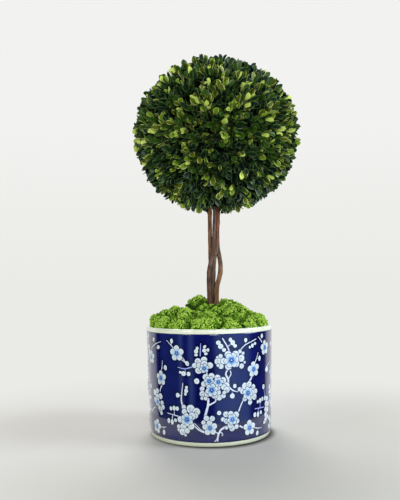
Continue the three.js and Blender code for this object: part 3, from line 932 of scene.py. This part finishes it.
def build_stem(name, stem, number):
    """One stem of the source, with bark relief on it."""
    count = int((stem["points"][-1][2] - stem["points"][0][2]) / BARK_STEP)
    path = smooth_curve(stem["points"], count)
    radii = lerp(stem["radii"][0], stem["radii"][1], np.linspace(0, 1, count))
    sides = circle(BARK_SIDES)
    rings = np.zeros((count, BARK_SIDES, 3))
    for i, middle in enumerate(path):
        for j, side in enumerate(sides):
            rings[i, j] = middle + radii[i] * bark_reach(side, middle[2], number) * side
    bag = Bag()
    bag.add_rings(rings, path[[0, -1]])
    make_piece(f"{name}_bark", bag, bark_material(f"{name}_bark", *BARK_TINTS[name]), [name])


def build_stems():
    for number, (name, stem) in enumerate(STEMS.items()):
        build_stem(name, stem, number)


# ---------------------------------------------------------------- moss

# The source's clumps: how much chance turns them in their ring, and changes their radius.
CLUMP_TURN = 0.35
CLUMP_SWELL = 0.16

MOSS_DRAWS = 5
RIM_GAP = 1.2
LUMP_INSET = 2.4
LUMP_WAVE_SIZE = 2.4
LUMP_WAVE = 0.3

# Small lumps where two clumps meet: their share of the smaller clump and its spread, their stray round
# the seam, how near the clumps have to be, and how far each lump is sunk.
SEAM_LUMP_SHARE = 0.46
SEAM_LUMP_SIZES = (0.8, 1.15)
SEAM_STRAY = 0.35
SEAM_NEARNESS = 0.98
SEAM_SUNK = 0.3

TUFT_GAP = 2.7
TUFT_RADIUS = 1.75
TUFT_SIZES = (0.7, 1.3)
TUFT_PROUD = 0.4
TUFT_SHAPES = 24
TUFT_CURL_SIZE = 2.6
TUFT_CURL = 1.3
TUFT_LOWEST = -0.35
TUFT_STRAY = 0.03
TUFT_BURIED = -2.0
TUFT_FLOOR = 158

# Tone from dark to light, mostly painted light and shade: what each kind of lump adds (painted shade on the
# clumps round the stems, and a lift for the seam lumps), how far from other lumps adds 1 (painted shade in
# the clefts), what facing up adds (painted light from above), the scatter by lump and by tuft, and the tones
# below which the darker tints are used.
SEAM_TONE = 0.4
STEM_CLUMP_PAINTED_SHADE = -0.3
OPEN_REACH = 9
UPWARD_PAINTED_LIGHT = 0.35
LUMP_SCATTER = 0.12
TUFT_SCATTER = 0.2
CLEFT_BELOW = 0.2
DEEP_BELOW = 0.68

# The tufts' tints carry painted shade and light: darkest in the clefts, darker deep down, and bright where
# open.
MOSS_TINTS = {
    "shaded_cleft": (srgb(20, 46, 2), srgb(64, 102, 12)),
    "deep": (srgb(58, 98, 10), srgb(120, 166, 34)),
    "bright": (srgb(104, 150, 26), srgb(184, 220, 92)),
}


def moss_clumps():
    """Middle and radius of each clump, by the source's rule."""
    clumps = []
    for number, ring in enumerate(MOSS_RINGS):
        draw = random_from(MOSS_SEED + number)
        for i in range(ring["count"]):
            angle = math.radians(ring["first"] + 360 * (i + (draw() - 0.5) * CLUMP_TURN) / ring["count"])
            radius = ring["radius"] * (1 + (draw() - 0.5) * CLUMP_SWELL)
            top = ring["top"] + (draw() - 0.5) * 2 * ring["spread"]
            middle = (ring["distance"] * math.cos(angle), ring["distance"] * math.sin(angle), top - radius)
            clumps.append((np.array(middle), radius))
    for bearing, distance, radius, top in STEM_CLUMPS:
        angle = math.radians(bearing)
        x = STEM_CLUSTER[0] + distance * math.cos(angle)
        y = STEM_CLUSTER[1] + distance * math.sin(angle)
        clumps.append((np.array([x, y, top - radius]), radius))
    return clumps


def seam_lumps(clumps, rng):
    """Small lumps pressed up along the seams where two clumps meet."""
    made = []
    for number, (a, radius_a) in enumerate(clumps):
        for b, radius_b in clumps[number + 1 :]:
            apart = np.linalg.norm(b - a)
            if apart > SEAM_NEARNESS * (radius_a + radius_b):
                continue
            along = (b - a) / apart
            share = (apart**2 + radius_a**2 - radius_b**2) / (2 * apart)
            seam_radius = math.sqrt(max(radius_a**2 - share**2, 0))
            aside = unit(np.cross(along, [0, 0, 1.0]))
            lean = rng.normal(0, SEAM_STRAY)
            out = np.cross(aside, along) * math.cos(lean) + aside * math.sin(lean)
            radius = SEAM_LUMP_SHARE * min(radius_a, radius_b) * rng.uniform(*SEAM_LUMP_SIZES)
            made.append((a + along * share + out * (seam_radius - SEAM_SUNK * radius), radius))
    return made


def unit_ball(divisions):
    """Points and triangles of an even ball of radius 1."""
    mesh = bpy.data.meshes.new("ball")
    made = bmesh.new()
    bmesh.ops.create_icosphere(made, subdivisions=divisions, radius=1)
    made.to_mesh(mesh)
    made.free()
    points = np.zeros(len(mesh.vertices) * 3)
    mesh.vertices.foreach_get("co", points)
    faces = np.zeros(len(mesh.polygons) * 3, int)
    mesh.polygons.foreach_get("vertices", faces)
    bpy.data.meshes.remove(mesh)
    return points.reshape(-1, 3), faces.reshape(-1, 3)


def wavy(points, size, seed, strength):
    """Points on a unit ball, swollen and sunk by seeded noise."""
    shift = Vector((seed, seed * 1.7, 0))
    reach = [1 + strength * noise.noise(Vector(point) * size + shift) for point in points]
    return points * np.array(reach)[:, None]


def fibonacci(count):
    """Directions spread evenly over a ball."""
    i = np.arange(count)
    height = 1 - 2 * (i + 0.5) / count
    level = np.sqrt(1 - height**2)
    return np.stack([level * np.cos(i * GOLDEN_ANGLE), level * np.sin(i * GOLDEN_ANGLE), height], -1)


def held_in_pot(points):
    """The points, where those past the pot's inside are drawn in to it."""
    inner = wall_radius(POT_HEIGHT) - WALL_THICKNESS - RIM_GAP
    points[:, :2] *= np.minimum(1, inner / np.maximum(np.hypot(points[:, 0], points[:, 1]), 1))[:, None]
    return points


def tuft_places(lumps, number, rng):
    """Where tufts stand on a lump, which way they face, and how far they are from the other lumps."""
    middle, radius, _, _ = lumps[number]
    spots = fibonacci(int(4 * math.pi * radius**2 / TUFT_GAP**2))
    spots = unit(spots[spots[:, 2] > TUFT_LOWEST])
    spots = unit(spots + rng.normal(0, TUFT_STRAY, spots.shape))
    reach = radius - LUMP_INSET + TUFT_PROUD
    places = held_in_pot(middle + wavy(spots, LUMP_WAVE_SIZE, number + 3.0, LUMP_WAVE) * reach)
    others = [lump for other, lump in enumerate(lumps) if other != number]
    clear = np.min([np.linalg.norm(places - other[0], axis=1) - other[1] for other in others], axis=0)
    kept = (clear > TUFT_BURIED) & (places[:, 2] > TUFT_FLOOR)
    return places[kept], spots[kept], clear[kept]


# The tint that gives a tuft its painted light and shade.
def tuft_tint(painted_lightness):
    if painted_lightness < CLEFT_BELOW:
        return "shaded_cleft"
    return "deep" if painted_lightness < DEEP_BELOW else "bright"


def add_tufts(tufts, lumps, number, shapes, faces, rng):
    """Small curled tufts all over a lump, with painted shade darker down in the clefts between lumps and
    painted light where they face up.
    """
    places = tuft_places(lumps, number, rng)
    tone = lumps[number][3] + rng.normal(0, LUMP_SCATTER)
    for place, out, open_by in zip(*places):
        size = TUFT_RADIUS * rng.uniform(*TUFT_SIZES)
        shape = shapes[rng.integers(len(shapes))]
        spin = Matrix.Rotation(rng.uniform(0, 2 * math.pi), 3, Vector(out))
        # Painted light and shade: lighter the further from other lumps and the more the tuft faces up.
        painted_lightness = tone + open_by / OPEN_REACH + UPWARD_PAINTED_LIGHT * out[2] + rng.normal(0, TUFT_SCATTER)
        tufts[tuft_tint(painted_lightness)].add(place + (shape @ np.array(spin).T) * size, faces)


def build_moss():
    """Each clump is a lump painted dark, as the shade deep in the moss, thick with tufts, and smaller lumps
    fill the seams between the clumps.
    """
    rng = np.random.default_rng(MOSS_DRAWS)
    clumps = moss_clumps()
    names = [f"moss_clump_{i + 1:02d}" for i in range(len(clumps))]
    ringed = len(clumps) - len(STEM_CLUMPS)
    big_ball = unit_ball(4)
    small_ball = unit_ball(3)
    lumps = [(*clump, big_ball, 0) for clump in clumps[:ringed]]
    # Painted shade: the clumps round the stems are set darker, as they lie in the ball's shadow.
    lumps += [(*clump, big_ball, STEM_CLUMP_PAINTED_SHADE) for clump in clumps[ringed:]]
    # The seam lumps are set lighter, so the painted cleft shade darkens them less.
    lumps += [(*seam, small_ball, SEAM_TONE) for seam in seam_lumps(clumps, rng)]
    tuft, tuft_faces = unit_ball(1)
    shapes = [wavy(tuft, TUFT_CURL_SIZE, seed, TUFT_CURL) for seed in range(TUFT_SHAPES)]
    bodies = Bag()
    tufts = {tint: Bag() for tint in MOSS_TINTS}
    for number, (middle, radius, (ball, faces), _) in enumerate(lumps):
        body = wavy(ball, LUMP_WAVE_SIZE, number + 3.0, LUMP_WAVE) * (radius - LUMP_INSET)
        bodies.add(held_in_pot(middle + body), faces)
        add_tufts(tufts, lumps, number, shapes, tuft_faces, rng)
    # Painted shade: the lumps under the tufts are dark, and show as shade between them.
    under = moss_material("moss_under_shade", srgb(14, 26, 4), srgb(40, 62, 12))
    make_piece("moss_lumps", bodies, under, names)
    for tint, bag in tufts.items():
        make_piece(f"moss_tufts_{tint}", bag, moss_material(f"moss_{tint}", *MOSS_TINTS[tint]))


# ---------------------------------------------------------------- ball of leaves

# Boughs: how far their foot is sunk in the core, and their radii at foot, core and tip.
BOUGH_SUNK = 25
BOUGH_RADII = [2.4, 2.0, 1.1]
BOUGH_SIDES = 6

# Twigs: each aims at a place at the top share of the outline or somewhat deeper, more of them near the top
# share, and forks off a bough at a share of its reach.
TWIG_COUNT = 1500
TWIG_SEED = 2961
TWIG_TOP = 1.035
TWIG_DEPTH = 0.085
TWIG_CROWDING = 1.4
TWIG_FORKS = (0.05, 0.4)
TWIG_STRAY = 0.075
TWIG_LEAN = 0.28
TWIG_PULL = 0.35
TWIG_STEPS = 6
TWIG_SIDES = 5
TWIG_RADII = (0.9, 0.45)
TWIG_END = 0.86

# Where the stems rise into the ball, and up to what height: no twig or leaf comes near.
STEM_TOP = (11, 2, 380)
STEM_CLEARANCE = 15

# How light a twig's leaves are: mostly by chance, and, as painted light and shade, a little by how far out
# they stand, and less at the ball's underside and top.
CHANCE_LIGHT = 0.88
OUTER_PAINTED_LIGHT = 0.12
UNDERSIDE_PAINTED_SHADE = 0.25
TOP_PAINTED_SHADE = 0.17
LEAF_SCATTER = 0.36

LEAF_LENGTH = 19.5
LEAF_WIDTH = 8.8
# The range of chance in turning a pair, in opening and rolling a leaf, in radians, and in setting it back.
PAIR_TURN = 0.7
OPENING_STRAY = 0.42
ROLL = 1.2
BACK_STRAY = 1.5
# From least to most: a leaf's size, width, depth of cup, and bend in radians.
LEAF_SIZES = (0.78, 1.16)
LEAF_WIDTHS = (0.84, 1.14)
LEAF_CUPS = (0.2, 0.75)
LEAF_BENDS = (-0.24, 0.56)
RIM_SHARE = 0.78
# A leaf's tip stands no further out than this share of the ball's outline.
OUTLINE_SLACK = 1.04
# The pairs of leaves on a twig: how far behind its tip, how wide open, how large, and how much lighter, as
# painted light on the pair at the tip and painted shade on those further back.
PAIRS = [
    {"back": 13.5, "opening": 0.90, "size": 0.95, "lighter": -0.14},
    {"back": 6.5, "opening": 0.64, "size": 1.0, "lighter": -0.02},
    {"back": 0.5, "opening": 0.36, "size": 0.94, "lighter": 0.14},
]
# The leaves' tints from dark to light, the share of each, and the rim it has, whose paler tint is a painted
# highlight.
LEAF_TINTS = [
    ("leaves_shade", srgb(5, 26, 24), 0.24, "dull"),
    ("leaves_dark", srgb(19, 46, 20), 0.24, "dull"),
    ("leaves_mid", srgb(48, 80, 12), 0.22, "dull"),
    ("leaves_olive", srgb(90, 102, 12), 0.12, "pale"),
    ("leaves_light", srgb(118, 150, 30), 0.10, "pale"),
    ("leaves_bright", srgb(214, 234, 112), 0.08, "pale"),
]
# The rims' paler tints: a painted highlight along each leaf's edge.
RIM_HIGHLIGHT_TINTS = {"dull": srgb(96, 126, 68), "pale": srgb(202, 220, 128)}

# A leaf's outline: places along it, its half width there, and the places across it.
LEAF_ROWS = np.array([0, 0.12, 0.34, 0.56, 0.76, 0.92, 1.0])
LEAF_HALF = np.array([0.07, 0.2, 0.56, 0.9, 1.0, 0.7, 0.12])
LEAF_ACROSS = np.array([-1, -RIM_SHARE, 0, RIM_SHARE, 1])

INSIDE_SHARE = 0.74
INSIDE_WAVE_SIZE = 5.0
INSIDE_WAVE = 0.14


def outline_share(point):
    """How far out a point is, where 1 is the ball's outline."""
    return np.linalg.norm((point - BALL_CENTRE) / BALL_RADII, axis=-1)


def distance_to_outline(start, way):
    """How far a straight line from start runs before it leaves the ball's outline."""
    p = (start - BALL_CENTRE) / BALL_RADII
    q = way / BALL_RADII
    a, b, c = q @ q, 2 * p @ q, p @ p - 1
    return (-b + math.sqrt(b * b - 4 * a * c)) / (2 * a)


def across(way, turn):
    """A direction square to way, turned about it."""
    helper = np.array([0, 0, 1.0]) if abs(way[2]) < 0.9 else np.array([1.0, 0, 0])
    side = unit(np.cross(helper, way))
    return side * math.cos(turn) + np.cross(way, side) * math.sin(turn)


def sprigs():
    """The root, direction and reach of each sprig, by the source's rule."""
    made = []
    for i in range(SPRIG_COUNT):
        draw = random_from(SPRIG_SEED + i)
        height = 1 - 2 * (i + 0.5) / SPRIG_COUNT
        azimuth = i * GOLDEN_ANGLE + (draw() - 0.5) * SPRIG_TURN
        level = math.sqrt(1 - height * height)
        out = np.array([level * math.cos(azimuth), level * math.sin(azimuth), height])
        lean = np.array([draw() - 0.5, draw() - 0.5, draw() - 0.5]) * 2 * SPRIG_LEAN
        way = unit(out + lean)
        root = out * BALL_RADII * CORE_SHARE * TWIG_ROOT_SHARE + BALL_CENTRE
        made.append((root, way, distance_to_outline(root, way) * lerp(SPRIG_REACH, 1, draw())))
    return made


def near_stems(points):
    """Whether any of the points comes close to where the stems rise into the ball."""
    x, y, top = STEM_TOP
    apart = np.hypot(points[:, 0] - x, points[:, 1] - y)
    return bool(((points[:, 2] < top) & (apart < STEM_CLEARANCE)).any())


def leaf_points(origins, ways, normals, lengths, widths, cups, bends):
    """Points of every leaf: a spoon with a crease down its middle, a raised rim and a bent tip."""
    half = 0.5 * widths[:, None, None] * LEAF_HALF[None, :, None] * LEAF_ACROSS[None, None, :]
    rise = cups[:, None, None] * np.abs(half)
    bends = np.where(np.abs(bends) < 1e-3, 1e-3, bends)[:, None]
    angle = (bends * LEAF_ROWS)[:, :, None]
    lengths = lengths[:, None, None] / bends[:, :, None]
    along = lengths * np.sin(angle) - rise * np.sin(angle)
    lift = lengths * (1 - np.cos(angle)) + rise * np.cos(angle)
    sides = np.cross(ways, normals)
    points = origins[:, None, None] + along[..., None] * ways[:, None, None]
    points = points + half[..., None] * sides[:, None, None] + lift[..., None] * normals[:, None, None]
    return points.reshape(len(origins), -1, 3)


def leaf_tint(shade):
    """The name of the tint at a share from dark to light."""
    shares = np.cumsum([tint[2] for tint in LEAF_TINTS])
    return LEAF_TINTS[min(int(np.searchsorted(shares, shade)), len(LEAF_TINTS) - 1)][0]


def one_leaf(end, heading, pair, direction, shade, draw):
    """The tint and the measures of one leaf of a pair, on its side of the twig."""
    opening = pair["opening"] + (draw() - 0.5) * OPENING_STRAY
    way = heading * math.cos(opening) + direction * math.sin(opening)
    normal = heading * math.sin(opening) - direction * math.cos(opening)
    roll = (draw() - 0.5) * ROLL
    normal = normal * math.cos(roll) + np.cross(way, normal) * math.sin(roll)
    size = pair["size"] * lerp(*LEAF_SIZES, draw())
    origin = end - heading * (pair["back"] + BACK_STRAY * draw())
    width = LEAF_WIDTH * size * lerp(*LEAF_WIDTHS, draw())
    cup = lerp(*LEAF_CUPS, draw())
    bend = lerp(*LEAF_BENDS, draw())
    tint = leaf_tint(shade + pair["lighter"] + (draw() - 0.5) * LEAF_SCATTER)
    return tint, (origin, way, normal, LEAF_LENGTH * size, width, cup, bend)


def add_spray(leaves, end, heading, shade, draw):
    """The leaves of one twig: pairs set crosswise, opening less and growing lighter towards the tip, as
    painted light where they stand out and painted shade further back.
    """
    spin = draw() * math.pi
    for k, pair in enumerate(PAIRS):
        for flip in (0, math.pi):
            direction = across(heading, spin + flip + k * math.pi / 2 + (draw() - 0.5) * PAIR_TURN)
            tint, leaf = one_leaf(end, heading, pair, direction, shade, draw)
            top = leaf[0] + leaf[1] * leaf[3]
            if outline_share(top) <= OUTLINE_SLACK and not near_stems(top[None]):
                leaves[tint].append(leaf)


def grow_boughs(twigs):
    """The source's sprigs as boughs, which the twigs then leave."""
    boughs = sprigs()
    for root, way, reach in boughs:
        path = [root - way * BOUGH_SUNK, root, root + way * (reach - LEAF_LENGTH)]
        tube(twigs, path, BOUGH_RADII, BOUGH_SIDES)
    return boughs


def grow_twig(twigs, leaves, boughs, tips, out, draw):
    """One fine twig from the nearest bough to its place near the outline, and its leaves."""
    out = unit(out + TWIG_STRAY * (np.array([draw(), draw(), draw()]) - 0.5))
    depth = draw() ** TWIG_CROWDING
    aim = BALL_CENTRE + out * BALL_RADII * (TWIG_TOP - TWIG_DEPTH * depth)
    root, way, reach = boughs[int(np.argmin(np.linalg.norm(tips - aim, axis=1)))]
    start = root + way * reach * lerp(*TWIG_FORKS, draw())
    bend = start + way * TWIG_PULL * np.linalg.norm(aim - start)
    outward = unit(out / BALL_RADII)
    stray = across(outward, draw() * 2 * math.pi) * TWIG_LEAN * draw()
    heading = unit(outward + TWIG_PULL * unit(aim - bend) + stray)
    end = aim - heading * LEAF_LENGTH * TWIG_END
    steps = np.linspace(0, 1, TWIG_STEPS)[:, None]
    path = (1 - steps) ** 2 * start + 2 * (1 - steps) * steps * bend + steps**2 * end
    # The leaves' tone: chance, with painted light where they stand out and painted shade at the underside and
    # top.
    shade = CHANCE_LIGHT * draw() + OUTER_PAINTED_LIGHT * (1 - depth)
    shade -= UNDERSIDE_PAINTED_SHADE * max(0, -out[2]) + TOP_PAINTED_SHADE * max(0, out[2])
    if near_stems(path):
        return
    tube(twigs, path, np.linspace(*TWIG_RADII, TWIG_STEPS), TWIG_SIDES)
    add_spray(leaves, end, heading, shade, draw)


def build_leaves(leaves):
    """Each tint's blades in one piece, and the rims of the dull and of the pale leaves, paler as a painted
    highlight, in two more.
    """
    faces = grid_faces(len(LEAF_ROWS), len(LEAF_ACROSS), False)
    across_place = np.arange(len(faces)) % (len(LEAF_ACROSS) - 1)
    at_rim = (across_place == 0) | (across_place == len(LEAF_ACROSS) - 2)
    rims = {rim: Bag() for rim in RIM_HIGHLIGHT_TINTS}
    for name, colour, _, rim in LEAF_TINTS:
        points = leaf_points(*[np.array(column) for column in zip(*leaves[name])])
        blades = Bag()
        blades.add_copies(points, faces[~at_rim])
        rims[rim].add_copies(points, faces[at_rim])
        make_piece(name, blades, leaf_material(name, colour))
    for rim, bag in rims.items():
        name = f"leaf_rim_highlights_{rim}"
        make_piece(name, bag, leaf_material(name, RIM_HIGHLIGHT_TINTS[rim]))


def build_inside():
    """A mass of leaves deep in the ball, painted dark as shade, which closes the gaps between the outer ones.
    """
    ball, faces = unit_ball(5)
    body = wavy(ball, INSIDE_WAVE_SIZE, 3.0, INSIDE_WAVE) * BALL_RADII * INSIDE_SHARE + BALL_CENTRE
    bag = Bag()
    bag.add(body, faces)
    make_piece("ball_inside", bag, core_shade_material(), ["foliage_ball"])


def build_ball():
    """Boughs by the source's rule, then finer twigs from them to all over the outline, and their leaves."""
    twigs = Bag()
    leaves = {tint[0]: [] for tint in LEAF_TINTS}
    boughs = grow_boughs(twigs)
    tips = np.array([root + way * reach for root, way, reach in boughs])
    for number, out in enumerate(fibonacci(TWIG_COUNT)):
        grow_twig(twigs, leaves, boughs, tips, out, random_from(TWIG_SEED + number))
    build_leaves(leaves)
    make_piece("ball_twigs", twigs, twig_material())
    build_inside()


# ---------------------------------------------------------------- stage, light and camera

FLOOR_INNER = 0.215
FLOOR_OUTER = 6.0
FLOOR_SIDES = 128
FLOOR_FADE = (0.25, 0.65)
FLOOR_WAVES = 30
FLOOR_DRIFT = 0.02
# Painted light on the floor: its tone on the shaded side and on the lit side, the way towards the lit side,
# and how far either way the tone takes to change.
SHADED_SIDE_FLOOR = srgb(202, 201, 197)
LIT_SIDE_FLOOR = srgb(222, 221, 220)
LIT_SIDE_WAY = (-0.7, 0.7, 0)
LIT_SIDE_REACH = 0.11
# A painted contact shadow round the pot's foot: its tone, its middle, set off to the front right, and the
# distances from that middle over which it fades out.
CONTACT_SHADOW_TONE = srgb(60, 60, 56)
CONTACT_SHADOW_CENTRE = (0.0045, -0.008, 0)
CONTACT_SHADOW_EDGE = (0.088, 0.104)

# What the eye sees behind the plant, from the horizon up.
HORIZON_TONE = srgb(234, 235, 231)
SKY_TONE = srgb(242, 242, 240)
SKY_HEIGHT = 0.25

# What the glaze and the leaves reflect: upright bands by their share of the way round, from the camera's side
# through the left, back and right to the camera's side again, and even tones above and below them.
DIM_BAND = (0.05, 0.08, 0.12, 1)
BLUISH_BAND = (0.25, 0.40, 0.70, 1)
BRIGHT_BAND = (0.36, 0.56, 0.92, 1)
SHINE_BANDS = [
    (0.0, grey(0.02)),
    (0.07, grey(0.01)),
    (0.094, BLUISH_BAND),
    (0.115, grey(0.01)),
    (0.132, grey(0.04)),
    (0.146, BLUISH_BAND),
    (0.165, DIM_BAND),
    (0.26, DIM_BAND),
    (0.285, grey(0.01)),
    (0.305, grey(0.02)),
    (0.325, grey(0.80)),
    (0.50, grey(0.80)),
    (0.645, grey(0.80)),
    (0.665, grey(0.04)),
    (0.77, grey(0.03)),
    (0.80, BLUISH_BAND),
    (0.88, BRIGHT_BAND),
    (0.965, BLUISH_BAND),
    (0.985, grey(0.02)),
    (1.0, grey(0.02)),
]
OVERHEAD_SHINE = (0.50, 0.54, 0.54, 1)
OVERHEAD_EDGE = (0.12, 0.4)
TABLE_SHINE = (0.16, 0.20, 0.24, 1)
TABLE_EDGE = (-0.3, -0.5)

# The soft light all round, from straight below to straight above: strongest a little over the horizon.
SOFT_LIGHT = [(0.0, grey(0.3)), (0.45, grey(0.65)), (0.55, grey(0.8)), (0.75, grey(0.62)), (1.0, grey(0.5))]
SOFT_STRENGTH = 0.52

# The lamps, all aimed low into the ball: place, size, energy and colour.
LAMP_AIM = (0.01, 0, 0.42)
LAMPS = {
    "key": ((-0.2, 1.2, 1.8), 1.0, 24, (1.0, 0.98, 0.92)),
    "left": ((-1.3, -1.5, 0.9), 0.6, 8, (1.0, 0.96, 0.8)),
    "front": ((0.3, -1.9, 0.5), 0.6, 14, (0.92, 0.97, 1.0)),
    "right": ((1.6, -0.3, 0.9), 0.9, 20, (0.9, 0.96, 1.0)),
}

# The camera: a little over the pot's rim, looking slightly up.
FRAME_TALL = 500
FOCAL = 590
SENSOR_WIDTH = 36
CAMERA_PLACE = (0, -0.9735, 0.2433)
CAMERA_PITCH = math.radians(3.008)
CAMERA_YAW = math.radians(-0.7627)
CAMERA_ROLL = math.radians(0.85)


def floor_colour(tree):
    """A pale tone, with painted light making it paler to the side that the light comes from, and a painted
    contact shadow where the pot stands.
    """
    place = own_place(tree)
    # Painted light: paler towards the side that the light comes from, with a little drift by chance.
    paler = add_node(tree, "VectorMath", {0: place, 1: LIT_SIDE_WAY}, operation="DOT_PRODUCT")
    inputs = {0: add_noise(tree, FLOOR_WAVES), 1: FLOOR_DRIFT, 2: paler.outputs["Value"]}
    drift = add_node(tree, "Math", inputs, operation="MULTIPLY_ADD").outputs[0]
    lit_side_share = add_range(tree, drift, -LIT_SIDE_REACH, LIT_SIDE_REACH)
    pale = add_ramp(tree, lit_side_share, [(0, SHADED_SIDE_FLOOR), (1, LIT_SIDE_FLOOR)])
    # Painted shadow: dark round where the pot stands, fading out over the contact edge.
    apart = add_node(tree, "VectorMath", {0: place, 1: CONTACT_SHADOW_CENTRE}, operation="DISTANCE")
    lit = add_range(tree, apart.outputs["Value"], *CONTACT_SHADOW_EDGE, smooth=True)
    return add_mix(tree, lit, CONTACT_SHADOW_TONE, pale)


def floor_material():
    """A pale matt floor that turns into the backdrop's tone further away from the plant."""
    made, tree, shader = new_material("pale_floor", Roughness=0.6, Specular_IOR_Level=0.1)
    feed(tree, shader, {"Base Color": floor_colour(tree)})
    distance = add_node(tree, "VectorMath", {0: own_place(tree)}, operation="LENGTH")
    away = add_range(tree, distance.outputs["Value"], *FLOOR_FADE, smooth=True)
    glow = add_node(tree, "Emission", {"Color": HORIZON_TONE, "Strength": 1.0})
    mixed = add_node(tree, "MixShader", {"Fac": away, 1: shader.outputs[0], 2: glow.outputs[0]})
    feed(tree, tree.nodes["Material Output"], {"Surface": mixed.outputs[0]})
    return made


def floor_ring(name, inner, outer, material, shiny):
    """A flat round floor, or a ring of it, that shows in the glaze if it is shiny."""
    ring = circle(FLOOR_SIDES)
    bag = Bag()
    if inner:
        bag.add(np.vstack([inner * ring, outer * ring]) / MM, grid_faces(2, FLOOR_SIDES, True)[:, ::-1])
    else:
        bag.add(np.vstack([outer * ring, [[0, 0, 0]]]) / MM, ring_fan(FLOOR_SIDES, 0, FLOOR_SIDES))
    mesh = make_mesh(name, bag)
    mesh.materials.append(material)
    made = new_object(name, mesh)
    made.visible_glossy = shiny


def build_floor():
    """The floor near the plant, which the glaze reflects, and the rest, which it doesn't."""
    material = floor_material()
    floor_ring("floor_near", 0, FLOOR_INNER, material, True)
    floor_ring("floor_far", FLOOR_INNER, FLOOR_OUTER, material, False)


def reflected_light(tree, x, y, z):
    """The upright bands, with even tones above and below them."""
    bearing = add_node(tree, "Math", {0: x, 1: y}, operation="ARCTAN2").outputs[0]
    bands = add_ramp(tree, add_range(tree, bearing, -math.pi, math.pi), SHINE_BANDS)
    upper = add_mix(tree, add_range(tree, z, *OVERHEAD_EDGE, smooth=True), bands, OVERHEAD_SHINE)
    return add_mix(tree, add_range(tree, z, *TABLE_EDGE, smooth=True), upper, TABLE_SHINE)


def add_background(tree, colour, strength=1.0):
    return add_node(tree, "Background", {"Color": colour, "Strength": strength}).outputs[0]


def build_world():
    """A plain pale backdrop for the eye, soft light all round, and bands of light for what shines."""
    world = bpy.data.worlds.new("soft_studio")
    bpy.context.scene.world = world
    world.use_nodes = True
    tree = world.node_tree
    way = add_node(tree, "TexCoord").outputs["Generated"]
    x, y, z = add_node(tree, "SeparateXYZ", {"Vector": way}).outputs
    backdrop = add_ramp(tree, add_range(tree, z, 0, SKY_HEIGHT), [(0, HORIZON_TONE), (1, SKY_TONE)])
    seen = add_background(tree, backdrop)
    shine = add_background(tree, reflected_light(tree, x, y, z))
    soft = add_background(tree, add_ramp(tree, add_range(tree, z, -1, 1), SOFT_LIGHT), SOFT_STRENGTH)
    ray = add_node(tree, "LightPath").outputs
    lit = add_node(tree, "MixShader", {"Fac": ray["Is Glossy Ray"], 1: soft, 2: shine}).outputs[0]
    whole = add_node(tree, "MixShader", {"Fac": ray["Is Camera Ray"], 1: lit, 2: seen}).outputs[0]
    feed(tree, tree.nodes["World Output"], {"Surface": whole})


def add_lamp(name, place, size, energy, colour):
    data = bpy.data.lights.new(name, "AREA")
    data.shape = "DISK"
    data.size = size
    data.energy = energy
    data.color = colour
    made = new_object(name, data)
    made.location = place
    made.rotation_euler = (Vector(LAMP_AIM) - Vector(place)).to_track_quat("-Z", "Y").to_euler()
    made.visible_camera = False


def build_lamps():
    for name, lamp in LAMPS.items():
        add_lamp(name, *lamp)


def build_camera():
    data = bpy.data.cameras.new("camera")
    data.sensor_width = SENSOR_WIDTH
    data.lens = FOCAL / FRAME_TALL * SENSOR_WIDTH
    level = math.cos(CAMERA_PITCH)
    ahead = Vector((math.sin(CAMERA_YAW) * level, math.cos(CAMERA_YAW) * level, math.sin(CAMERA_PITCH)))
    side = ahead.cross(Vector((0, 0, 1))).normalized()
    over = side.cross(ahead)
    right = side * math.cos(CAMERA_ROLL) - over * math.sin(CAMERA_ROLL)
    up = over * math.cos(CAMERA_ROLL) + side * math.sin(CAMERA_ROLL)
    camera = new_object("camera", data)
    turn = Matrix((right, up, -ahead)).transposed().to_4x4()
    camera.matrix_world = Matrix.Translation(CAMERA_PLACE) @ turn
    bpy.context.scene.camera = camera


build_camera()
build_floor()
build_world()
build_lamps()
build_pot()
build_stems()
build_moss()
build_ball()

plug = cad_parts["planting_plug"]
plug.data.materials.clear()
plug.data.materials.append(foam_material())

bpy.context.scene.view_settings.view_transform = "Standard"
